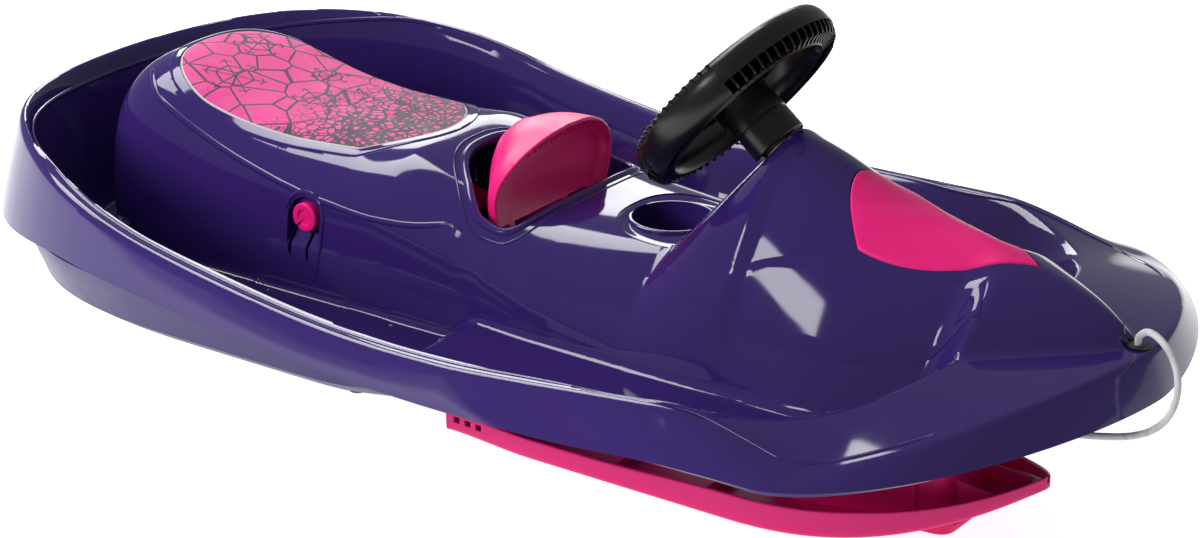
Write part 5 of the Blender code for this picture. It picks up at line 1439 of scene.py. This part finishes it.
def make_hull():
    columns = [hull_profile(*column) for column in hull_columns()]
    mesh = open_sheet("upper_hull_shell", both_sides(columns))
    hull = add_piece("upper_hull_shell", mesh, [HULL_PLASTIC], "hull", HULL_SHADE_ANGLE)
    thicken(hull, WALL)
    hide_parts("upper_hull")
    shape_seats(hull)
    shape_cup(hull)
    shape_openings(hull)
    shape_sides(hull)
    shade(hull.data, HULL_SHADE_ANGLE)


def make_pad():
    skin = patch(pad_outline(), PAD_SPINE, lambda x, y, depth: PAD_RISE - edge_drop(depth, PAD_EDGE_RUN),
                 flat(-PAD_THICKNESS), inner=60, border=3)
    foam = piece_of(skin, "seat_pad_foam", [PAD_PRINT, PAD_FOAM], "hull")
    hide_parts("seat_pad")


def fold(x, y):
    """Height of the folds of the bonnet insert: two from its rear corners that meet in one ridge."""
    if x > FOLD_MEET_X:
        away, fade = abs(y), 1 - smooth_step(*FOLD_FRONT_FADE, x)
    else:
        rear_x, rear_y = FOLD_REAR
        line = rear_y * (FOLD_MEET_X - x) / (FOLD_MEET_X - rear_x)
        away, fade = abs(abs(y) - line), smooth_step(*FOLD_REAR_FADE, x)
    return FOLD_HEIGHT * max(0, 1 - away / FOLD_HALF_WIDTH) * fade


def make_insert():
    def top(x, y, depth):
        rise = INSERT_RISE + fold(x, y) * smooth_step(0, FOLD_EDGE_RUN, depth)
        return rise - edge_drop(depth, INSERT_EDGE_RUN)

    skin = patch(insert_outline(), INSERT_SPINE, top, flat(-INSERT_SINK - INSERT_THICKNESS), inner=60)
    panel = piece_of(skin, "bonnet_panel", [PINK_PLASTIC], "hull")
    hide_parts("bonnet_insert")


def make_axle_caps():
    """Snap-in caps with a dished face and a notch."""
    bore = AXLE_RADIUS + CLEARANCE
    floor_radius, brim_radius = CAP_DISH_RADII
    profile = [(0, CAP_DISH), (floor_radius, CAP_DISH), (brim_radius, CAP_HEIGHT)]
    profile += arc(CAP_RADIUS - CAP_ROUND, CAP_HEIGHT - CAP_ROUND, CAP_ROUND, pi / 2, 0, 6)
    profile += [(CAP_RADIUS, 0), (CAP_STEM_RADIUS, 0), (CAP_STEM_RADIUS, -CAP_STEM_LENGTH),
                (bore, -CAP_STEM_LENGTH), (bore, -CAP_BORE_START), (0, -CAP_BORE_START)]
    c, s = cos(CAP_NOTCH_TURN), sin(CAP_NOTCH_TURN)
    corners = [(AXLE_X + u * c - v * s, AXLE_Z + u * s + v * c) for u, v in CAP_NOTCH]
    for side, name in ((1, "left"), (-1, "right")):
        start = (AXLE_X, side * (POCKET_BACK_Y + CLEARANCE), AXLE_Z)
        skin = turned(profile, start, (0, side, 0), 64)
        cap = piece_of(skin, f"axle_cap_{name}_face", [PINK_PLASTIC], "hull")
        cut(cap, side_prism(corners, *[side * (POCKET_BACK_Y + out) for out in CAP_NOTCH_REACH]))
        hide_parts(f"axle_cap_{name}")


# Steering wheel

def in_wheel(turn, radius, down, across=0.0):
    """Point by its angle round the wheel, distance from the axis, depth and sideways offset."""
    u = radius * cos(turn) - across * sin(turn)
    v = radius * sin(turn) + across * cos(turn)
    return WHEEL_FRAME @ Vector((u, v, down))


def rim_place(grip, angle, shrink=0.0):
    """Radius and depth of the rim's section at an angle: 0 outside, a quarter turn at the rider's side."""
    middle = WHEEL_RADIUS - RIM_ROUND - (GRIP_STEP if grip else 0)
    out, up = superellipse(angle, RIM_ROUND - shrink, RIM_HEIGHT - shrink, 2 / RIM_POWER)
    return middle + out, RIM_LEVEL - up


def is_grip(turn):
    return abs((turn + pi / 2) % pi - pi / 2) < GRIP_HALF_ANGLE


def rim_section(grip, steps=26):
    """Closed section of the cover: round the outside, then back along the inside."""
    angles = [mix(*(GRIP_ARC if grip else COVER_ARC), k / steps) for k in range(steps + 1)]
    return [rim_place(grip, a) for a in angles] + [rim_place(grip, a, RIM_COVER) for a in angles[::-1]]


def rib_section(steps=30, foot=8):
    """Outline of one rib: it fills the cover and stands bare below it, hollowed at its foot."""
    outline = [rim_place(False, mix(*RIB_ARC, k / steps), RIB_SHRINK) for k in range(steps + 1)]
    last, low = outline[-1]
    first = outline[0][0]
    shares = [k / foot for k in range(1, foot)]
    return outline + [(mix(last, first, share), low - RIB_HOLLOW * sin(pi * share)) for share in shares]


def rib_or_stud(turn):
    """One rib of the rim, or the stud that stands on a grip in its place."""
    if is_grip(turn):
        centre = in_wheel(turn, *rim_place(True, STUD_ANGLE))
        out = (centre - in_wheel(turn, WHEEL_RADIUS - RIM_ROUND, RIM_LEVEL)).normalized()
        return turned(STUD, centre, out, 12)
    half = RIB_THICKNESS / 2
    return loft([[in_wheel(turn, r, w, offset) for r, w in rib_section()] for offset in (-half, half)])


def spoke(turn, steps=12):
    """Channel-shaped spoke that flares towards both its ends."""
    start, end = HUB_RADIUS - SPOKE_LAPS[0], RIM_INNER + SPOKE_LAPS[1]
    foot, floor, top, crown = SPOKE_LEVELS
    draft, bevel = SPOKE_EASE
    rings = []
    for share in [k / steps for k in range(steps + 1)]:
        wide = SPOKE_HALF_WIDTH + SPOKE_FLARE * abs(2 * share - 1) ** SPOKE_FLARE_POWER
        inner = wide - SPOKE_LIP
        half = [(inner - draft, floor), (inner, top), (wide - bevel, crown), (wide, top), (wide, foot)]
        section = [(-across, w) for across, w in half[::-1]] + half
        rings.append([in_wheel(turn, mix(start, end, share), w, across) for across, w in section])
    return loft(rings)


def make_rim():
    turns = [2 * pi * k / RIM_SECTIONS for k in range(RIM_SECTIONS)]
    turns += [(centre + side * GRIP_HALF_ANGLE + step) % (2 * pi)
              for centre in (0, pi) for side in (1, -1) for step in (-GRIP_EDGE, GRIP_EDGE)]
    turns.sort()
    parts = [looped([[in_wheel(turn, r, w) for r, w in rim_section(is_grip(turn))] for turn in turns])]
    ribs = round(2 * pi / RIB_PITCH)
    parts += [rib_or_stud(k * 2 * pi / ribs) for k in range(ribs)]
    parts += [spoke(turn) for turn in SPOKE_ANGLES]
    wheel = piece_of(merged(parts), "wheel_rim_and_spokes", [WHEEL_PLASTIC], "steering")
    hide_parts("steering_wheel")


def make_hub():
    end = COLLAR_STATION - CLEARANCE
    waist = HUB_RADIUS - HUB_GROOVE_DEPTH
    high, bottom, floor, low = HUB_GROOVE
    top_round, foot_round = HUB_ROUNDS
    profile = [(0, HUB_TOP), (HUB_RADIUS - top_round, HUB_TOP), (HUB_RADIUS, HUB_TOP + top_round),
               (HUB_RADIUS, high), (waist, bottom), (waist, floor), (HUB_RADIUS, low),
               (HUB_RADIUS, end - foot_round), (HUB_RADIUS - foot_round, end), (0, end)]
    skin = turned(profile, column_point(0), COLUMN_DOWN, 72)
    hub = piece_of(skin, "wheel_hub", [WHEEL_PLASTIC], "steering")
    (left, right), (upper, lower) = HUB_NOTCH_WIDTH, HUB_NOTCH_HEIGHT
    corners = ((left, upper), (right, upper), (right, lower), (left, lower))
    cut(hub, prism(corners, *HUB_NOTCH, WHEEL_FRAME))
    join(hub, rod(HUB_CORE_RADIUS, column_point(HUB_CORE_STATION), column_point(end), 64))
    start, below = column_point(HUB_BORE_STATION), column_point(end + CUTTER_RISE)
    cut(hub, rod(COLUMN_RADIUS + CLEARANCE, start, below, 48))
    start, end = [column_point(WHEEL_SCREW_STATION, up) for up in HUB_SCREW_HOLE]
    cut(hub, rod(SCREW_RADIUS + SCREW_PLAY, start, end, 20))
    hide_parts("steering_wheel")


# Brake lever

def lip_x(z):
    return along(LIP_LEAN, z)


def hood_rows():
    """Points of the hood's skin, in rows from the lip back to its foot."""
    lip = even_places(LIP, count=HOOD_COLUMNS)
    numbers = range(len(LIP))
    back = [[float(np.interp(k / HOOD_COLUMNS * (len(LIP) - 1), numbers, [place[n] for place in HANDLE_BACK]))
             for n in (0, 1)] for k in range(HOOD_COLUMNS + 1)]
    spans = [(y, z, back_y, back_x) for (y, z), (back_y, back_x) in zip(lip, back)]
    across = [(-y, z, -back_y, back_x) for y, z, back_y, back_x in reversed(spans[1:])] + spans
    foot = HANDLE_FOOT_Z - LAP
    rows = []
    for n in range(HOOD_ROWS + 1):
        turn = pi / 2 * n / HOOD_ROWS
        behind = sin(turn) ** HOOD_FULLNESS
        up = cos(turn) ** HOOD_FULLNESS if n < HOOD_ROWS else 0.0
        rows.append([(mix(lip_x(z), back_x, behind), mix(y, back_y, n / HOOD_ROWS), mix(foot, z, up))
                     for y, z, back_y, back_x in across])
    return rows


def lip_height(y):
    lip = even_places(LIP[:5], count=LIP_POINTS)
    return float(np.interp(abs(y), [place[0] for place in lip], [place[1] for place in lip]))


def lip_bead():
    """Round edge along the hood's lip."""
    lip = even_places(LIP, count=LIP_POINTS)
    line = [(-y, z) for y, z in reversed(lip[1:])] + lip
    rings = []
    points = [Vector((lip_x(z), y, z)) for y, z in line]
    for k, (y, z) in enumerate(line):
        axis = (points[min(k + 1, len(line) - 1)] - points[max(k - 1, 0)]).normalized()
        inward = Vector((0.0, -axis.z, axis.y))
        inward = (inward - axis * inward.dot(axis)).normalized()
        outwards = inward.z > 0 if abs(y) < LIP_SIDE_Y else y * inward.y > 0
        if outwards:
            inward = -inward
        centre = points[k] + inward * (HANDLE_WALL / 2)
        rings.append(circle(centre, inward, axis.cross(inward), HANDLE_WALL / 2, 12))
    return loft(rings)


def hood_wall():
    """Concave wall inside the hood, set back from its lip."""
    arch = [(max(y, 0), z) for y, z in offset_line(even_places(LIP, count=HOOD_COLUMNS), HOOD_WALL_INSET)[1:]]
    half = HOOD_WALL_HALF_ROWS
    bm = bmesh.new()
    layers = []
    for back in (0.0, HOOD_WALL_THICKNESS):
        rows = []
        for y, z in arch:
            row = []
            for place in [y * n / half for n in range(-half, half + 1)]:
                hollow = HOOD_HOLLOW * (1 - (place / HOOD_HALF_WIDTH) ** 2) * smooth_step(*HOOD_HOLLOW_Z, z)
                row.append(bm.verts.new((lip_x(z) - HOOD_WALL_SETBACK - hollow - back, place, z)))
            rows.append(row)
        layers.append(rows)
        strip(bm, rows)
    front, rear = layers
    for end in (0, -1):
        strip(bm, [front[end], rear[end]])
        strip(bm, [[row[end] for row in front], [row[end] for row in rear]])
    return bm


def make_lever():
    mesh = open_sheet("hood", [hood_rows()])
    lever = add_piece("brake_handle", mesh, [PINK_PLASTIC], "brake", SHEET_SHADE_ANGLE)
    thicken(lever, HANDLE_WALL)
    join(lever, lip_bead())
    join(lever, hood_wall())
    for k in range(HOOD_RIBS):
        y = (k - (HOOD_RIBS - 1) / 2) * HOOD_RIB_SPACING
        top = lip_height(y)
        rib = [(lip_x(top) + x, top + z) for x, z in HOOD_RIB]
        join(lever, side_prism(rib, y - HOOD_RIB_HALF, y + HOOD_RIB_HALF))
    for side in (1, -1):
        y = side * LEVER_ARM_Y
        join(lever, side_prism(LEVER_ARM, y - LEVER_ARM_WIDTH / 2, y + LEVER_ARM_WIDTH / 2))
    join(lever, side_rod(TUBE_RADIUS, AXLE_X, AXLE_Z, -TUBE_HALF_LENGTH, TUBE_HALF_LENGTH, 48))
    down, across = (-cos(CLAW_ANGLE), -sin(CLAW_ANGLE)), (sin(CLAW_ANGLE), -cos(CLAW_ANGLE))
    for side in (1, -1):
        lug_frame = Matrix(((down[0], across[0], 0, AXLE_X), (0, 0, 1, side * CLAW_Y),
                            (down[1], across[1], 0, AXLE_Z), (0, 0, 0, 1)))
        join(lever, prism(LUG, *sorted(side * reach for reach in LUG_SPAN), lug_frame))
        place = lug_frame @ Vector((RIVET_STATION, 0, 0))
        cut(lever, side_rod(RIVET_RADIUS, place.x, place.z, place.y - RIVET_CUT, place.y + RIVET_CUT, 24))
    peg_end = LEVER_ARM_Y + SPRING_PEG_LENGTH
    join(lever, side_rod(SPRING_PEG_RADIUS, AXLE_X + SPRING_PEG_REACH, AXLE_Z, LEVER_ARM_Y, peg_end, 16))
    cut(lever, side_rod(AXLE_RADIUS + AXLE_GAP, AXLE_X, AXLE_Z, -AXLE_CUT, AXLE_CUT, 40))
    shade(lever.data, SHEET_SHADE_ANGLE)
    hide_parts("brake_lever")


# Steering ski

def ski_half(x):
    if x <= SKI_TAPER_X:
        wide = smooth_step(SKI_REAR_X, SKI_REAR_X + SKI_WAIST_RUN, x)
        return SKI_HALF_WIDTH * mix(SKI_WAIST, 1, wide)
    run = (x - SKI_TAPER_X) / (SKI_TIP_X - SKI_TAPER_X)
    power, fullness = SKI_TAPER_POWERS
    return SKI_HALF_WIDTH * (1 - run ** power) ** fullness


def ski_bottom(x):
    run = max(0, (x - SKI_CURVE_X) / (SKI_TIP_X - SKI_CURVE_X))
    return SKI_TIP_RISE * run ** SKI_RISE_POWER


def ski_section(x):
    """Half of the tray's section, from the middle of the sole out, over the wall's top and back inside."""
    half = ski_half(x)
    skin = min(SKI_SKIN, half * SKI_TIP_SKIN)
    radius = min(SKI_CHAMFER, half * SKI_TIP_CHAMFER)
    inner = max(radius - skin, SKI_INNER_ROUND)
    crown = skin / 2
    sole = arc(half - radius, radius, radius, -pi / 2, 0, 8)
    top = arc(half - crown, along(SKI_WALL, x) - crown, crown, 0, pi, 8)
    floor = arc(half - skin - inner, SKI_SKIN + inner, inner, 0, -pi / 2, 6)
    return [(0.0, 0.0), *sole, *top, *floor, (0.0, SKI_SKIN)]


def tapered_box(inset, low, high):
    """Box round the ski's hub with rounded upright corners and a narrower front."""
    half = SKI_BOX_HALF_WIDTH - inset
    rear, front = SKI_BOX_REAR_X + inset, SKI_BOX_FRONT_X - inset
    narrow = half * SKI_BOX_TAPER
    small, large = SKI_BOX_ROUNDS
    corners = [((rear, -half), small), ((front, -narrow), large),
               ((front, narrow), large), ((rear, half), small)]
    outline = []
    for k, (corner, radius) in enumerate(corners):
        here = Vector(corner)
        before = (Vector(corners[k - 1][0]) - here).normalized() * radius
        after = (Vector(corners[(k + 1) % 4][0]) - here).normalized() * radius
        for t in [n / 8 for n in range(9)]:
            outline.append(tuple((here + before).lerp(here, t).lerp(here.lerp(here + after, t), t)))
    return prism(outline, low, high)


def ski_tray():
    rings = []
    for k in range(SKI_SECTIONS + 1):
        x = mix(SKI_REAR_X, SKI_TIP_X - SKI_TIP_SHORT, sin(pi / 2 * k / SKI_SECTIONS))
        half = [(y, ski_bottom(x) + height) for y, height in ski_section(x)]
        rings.append([(x, y, z) for y, z in half] + [(x, -y, z) for y, z in reversed(half[1:-1])])
    return loft(rings)


def ski_rear_wall():
    back = SKI_HALF_WIDTH * SKI_REAR_SHARE
    thick = SKI_SKIN / 2
    crown = arc(SKI_REAR_X + thick, SKI_WALL[0][1] - thick, thick, pi, 0, 8)
    return side_prism([(SKI_REAR_X, SKI_FOOT), *crown, (SKI_REAR_X + SKI_SKIN, SKI_FOOT)], -back, back)


def shape_ski_box(ski):
    """Box over the sole with the hub, its cross webs and a lengthwise one."""
    floor = SKI_BOX_FLOOR
    half = SKI_BOX_HALF_WIDTH * SKI_WEB_SHARE
    join(ski, tapered_box(0.0, SKI_BOX_FOOT, SKI_BOX_HEIGHT))
    cut(ski, tapered_box(SKI_SKIN, floor, SKI_BOX_HEIGHT + CUTTER_RISE))
    flare, flare_height = SKI_HUB_FLARE
    foot = [(0, floor - 2 * LAP), (SKI_HUB_RADIUS + flare, floor - 2 * LAP),
            (SKI_HUB_RADIUS, floor + flare_height)]
    dome = arc(SKI_HUB_RADIUS - SKI_HUB_ROUND, SKI_HUB_TOP - SKI_HUB_ROUND, SKI_HUB_ROUND, 0, pi / 2, 6)
    join(ski, turned(foot + dome + [(0, SKI_HUB_TOP)], (SPINDLE_X, 0, 0), (0, 0, 1), 64))
    for x in SKI_WEB_PLACES:
        join(ski, block((x - SKI_WEB_HALF, -half, floor - LAP), (x + SKI_WEB_HALF, half, SKI_WEB_TOP)))
    join(ski, block((SKI_BOX_REAR_X + 2 * LAP, -SKI_WEB_HALF, floor - LAP),
                    (SKI_BOX_FRONT_X - 2 * LAP, SKI_WEB_HALF, SKI_WEB_TOP)))


def shape_ski_sides(ski, side):
    """Struts from the box to the sole, and three small slots in the wall's rear end."""
    y = side * SKI_STRUT_Y
    low, high, thick = SKI_STRUT_LEVELS
    starts = (SKI_BOX_FRONT_X - SKI_STRUT_LAP, SKI_BOX_REAR_X + SKI_STRUT_LAP)
    for x, foot_x in zip(starts, SKI_STRUT_FEET):
        foot = ski_bottom(foot_x) + SKI_FOOT
        web = [(x, low), (x, high), (foot_x, foot + thick), (foot_x, foot)]
        join(ski, side_prism(web, y - SKI_STRUT_HALF, y + SKI_STRUT_HALF))
    low, high = SKI_SLOT_LEVELS
    for number in range(3):
        x = SKI_REAR_X + SKI_SLOT_START + SKI_SLOT_PITCH * number
        y = side * (ski_half(x) - SKI_SKIN / 2)
        cut(ski, block((x - SKI_SLOT_HALF, y - SKI_SKIN, low), (x + SKI_SLOT_HALF, y + SKI_SKIN, high)))


def make_ski():
    ski = piece_of(ski_tray(), "ski_tray", [PINK_PLASTIC], "ski")
    join(ski, ski_rear_wall())
    shape_ski_box(ski)
    for side in (1, -1):
        shape_ski_sides(ski, side)
    for x in SKI_RIB_PLACES:
        reach = ski_half(x) - LAP
        join(ski, block((x - SKI_RIB_HALF, -reach, SKI_FOOT), (x + SKI_RIB_HALF, reach, SKI_RIB_TOP)))
    low, high = [(SPINDLE_X, 0, z) for z in SPINDLE_HOLE]
    cut(ski, rod(SPINDLE_RADIUS + CLEARANCE, low, high, 48))
    shade(ski.data, SHADE_ANGLE)
    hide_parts("steering_ski")


# Lower hull

def pan_height(share):
    """Height of the lower hull by how far out a place lies."""
    return float(np.interp(share, [place[0] for place in PAN_PROFILE], [place[1] for place in PAN_PROFILE]))


def pan_level(share):
    """The same with its bends eased."""
    return float(np.mean([pan_height(share + PAN_EASE * n) for n in (-2, -1, 0, 1, 2)]))


def pan_skirt(x, y, spine):
    """Upper part of the pan's side, up inside the hull's flange and clear of the hull's skin."""
    points = []
    for share, z in reversed(PAN_SKIRT):
        px, py = mix(spine, x, share), y * share
        points.append((px, py, min(z, base_height(px, py) - WALL - PAN_SKIRT_GAP)))
    return points


def pan_columns(count=48, side=24, rings=120):
    """Columns of the pan's skin on the +Y side, from its upper edge to its spine."""
    half = HULL_HALF_WIDTH - PAN_INSET
    ends = []
    for k in range(count):
        x, y = superellipse(pi / 2 * k / count, PAN_FRONT_REACH, half, PAN_FRONT_POWER)
        ends.append((PAN_FRONT_CENTRE + x, y, PAN_FRONT_CENTRE))
    for k in range(side + 1):
        x = mix(PAN_FRONT_CENTRE, REAR_CENTRE, k / side)
        ends.append((x, half, x))
    for k in range(1, count + 1):
        x, y = superellipse(pi / 2 + pi / 2 * k / count, PAN_REAR_REACH, half, PAN_REAR_POWER)
        ends.append((REAR_CENTRE + x, y, REAR_CENTRE))
    shares = [n / rings for n in range(rings, -1, -1)]
    return [pan_skirt(x, y, spine) + [(mix(spine, x, share), y * share, pan_level(share)) for share in shares]
            for x, y, spine in ends]


def shape_tower(pan, x, y):
    """Screw tower up to the foot well, with the screw's hole and the seat of its head."""
    share = share_out(x, y, HULL_HALF_WIDTH - PAN_INSET, (PAN_FRONT_CENTRE, PAN_FRONT_REACH, PAN_FRONT_POWER),
                      (REAR_CENTRE, -PAN_REAR_REACH, PAN_REAR_POWER))
    low = pan_height(share)
    top = floor_height(x) - WALL - TOWER_LAP - CLEARANCE
    under = (x, y, low - CUTTER_RISE)
    join(pan, rod(TOWER_RADIUS, (x, y, low + LAP), (x, y, top), 32))
    cut(pan, rod(SCREW_RADIUS + CLEARANCE, under, (x, y, top + CUTTER_RISE), 20))
    cut(pan, rod(SCREW_HEAD_RADIUS + SCREW_HEAD_PLAY, under, (x, y, low + SCREW_HEAD_SINK), 24))


def make_pan():
    mesh = open_sheet("pan", both_sides(pan_columns()))
    pan = add_piece("lower_hull_pan", mesh, [PAN_PLASTIC], "hull", SHEET_SHADE_ANGLE)
    thicken(pan, WALL, 1)
    for x, inset in TOWER_PLACES:
        for side in (1, -1):
            shape_tower(pan, x, side * (HULL_HALF_WIDTH - inset))
    start, end = CLAW_SLOT
    half = CLAW_SLOT_HALF_WIDTH
    for y in (CLAW_Y, -CLAW_Y):
        cut(pan, block((start, y - half, -CUTTER_RISE), (end, y + half, CLAW_SLOT_TOP)))
    shade(pan.data, SHEET_SHADE_ANGLE)
    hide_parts("lower_hull")


# Studio: each light is its place, target, size and power

LIGHTS = {
    "back_box": ((-2.1, 2.4, 1.35), (0, 0, 0.15), (1.5, 0.95), 24),
    "top_box": ((-1.7, 0.55, 2.5), (0, 0, 0.15), (2.0, 1.0), 48),
    "patch_box": ((-0.52, -2.2, 1.9), (0.2, 0, 0.2), (0.62, 0.5), 9),
    "front_box": ((-1.3, -2.4, 1.4), (0, 0, 0.15), (1.4, 0.9), 52),
}
WORLD_STRENGTH = (0.24, 1.0)
FLOOR_GLOW = (0.46, 0.88)
FLOOR_REACH = 6
FLOOR_LOW = -0.012
FLOOR_TOP = -0.002


def area_light(name, place, target, size, power):
    light = bpy.data.lights.new(name, "AREA")
    light.shape = "RECTANGLE"
    light.size, light.size_y = size
    light.energy = power
    holder = bpy.data.objects.new(name, light)
    bpy.context.scene.collection.objects.link(holder)
    holder.location = place
    holder.rotation_euler = (Vector(place) - Vector(target)).to_track_quat("Z", "Y").to_euler()
    return holder


def seen_or_not(tree, values):
    """First value for reflected and scattered light, second for what the camera sees."""
    rays = tree.nodes.new("ShaderNodeLightPath")
    return ramp(tree, rays.outputs["Is Camera Ray"], 0.0, 1.0, *values)


def make_studio():
    world = bpy.data.worlds.new("studio")
    bpy.context.scene.world = world
    world.use_nodes = True
    background = world.node_tree.nodes["Background"]
    background.inputs["Color"].default_value = (1, 1, 1, 1)
    strength = seen_or_not(world.node_tree, WORLD_STRENGTH)
    world.node_tree.links.new(strength, background.inputs["Strength"])
    boxes = {name: area_light(name, *values) for name, values in LIGHTS.items()}
    boxes["front_box"].visible_glossy = False
    bpy.context.scene.view_settings.view_transform = "Standard"
    pale, tree, shader, place = node_material("floor", (0.92, 0.92, 0.93), 0.6)
    bump(tree, shader, noise(tree, place, 30.0, 3.0), 0.05, 0.0005)
    shader.inputs["Emission Color"].default_value = (1, 1, 1, 1)
    tree.links.new(seen_or_not(tree, FLOOR_GLOW), shader.inputs["Emission Strength"])
    slab = block((-FLOOR_REACH, -FLOOR_REACH, FLOOR_LOW), (FLOOR_REACH, FLOOR_REACH, FLOOR_TOP))
    floor = piece_of(slab, "floor", [pale], None)


def dress_nodes():
    """Better materials for the CAD nodes that stay."""
    finishes = {
        "column_bracket": BLACK_PLASTIC, "steering_carrier": BLACK_PLASTIC, "cord_guide": BLACK_PLASTIC,
        "hub_cap": BLACK_PLASTIC, "upper_bush": NYLON, "lower_bush": NYLON, "deck_knot": CORD_FIBRE,
        "carrier_knot": CORD_FIBRE,
    }
    for name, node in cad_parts.items():
        node.data.materials.clear()
        node.data.materials.append(finishes.get(name, STEEL))


make_camera()
make_cord()
make_studio()
make_hull()
make_pad()
make_insert()
make_axle_caps()
make_rim()
make_hub()
make_lever()
make_ski()
make_pan()
dress_nodes()
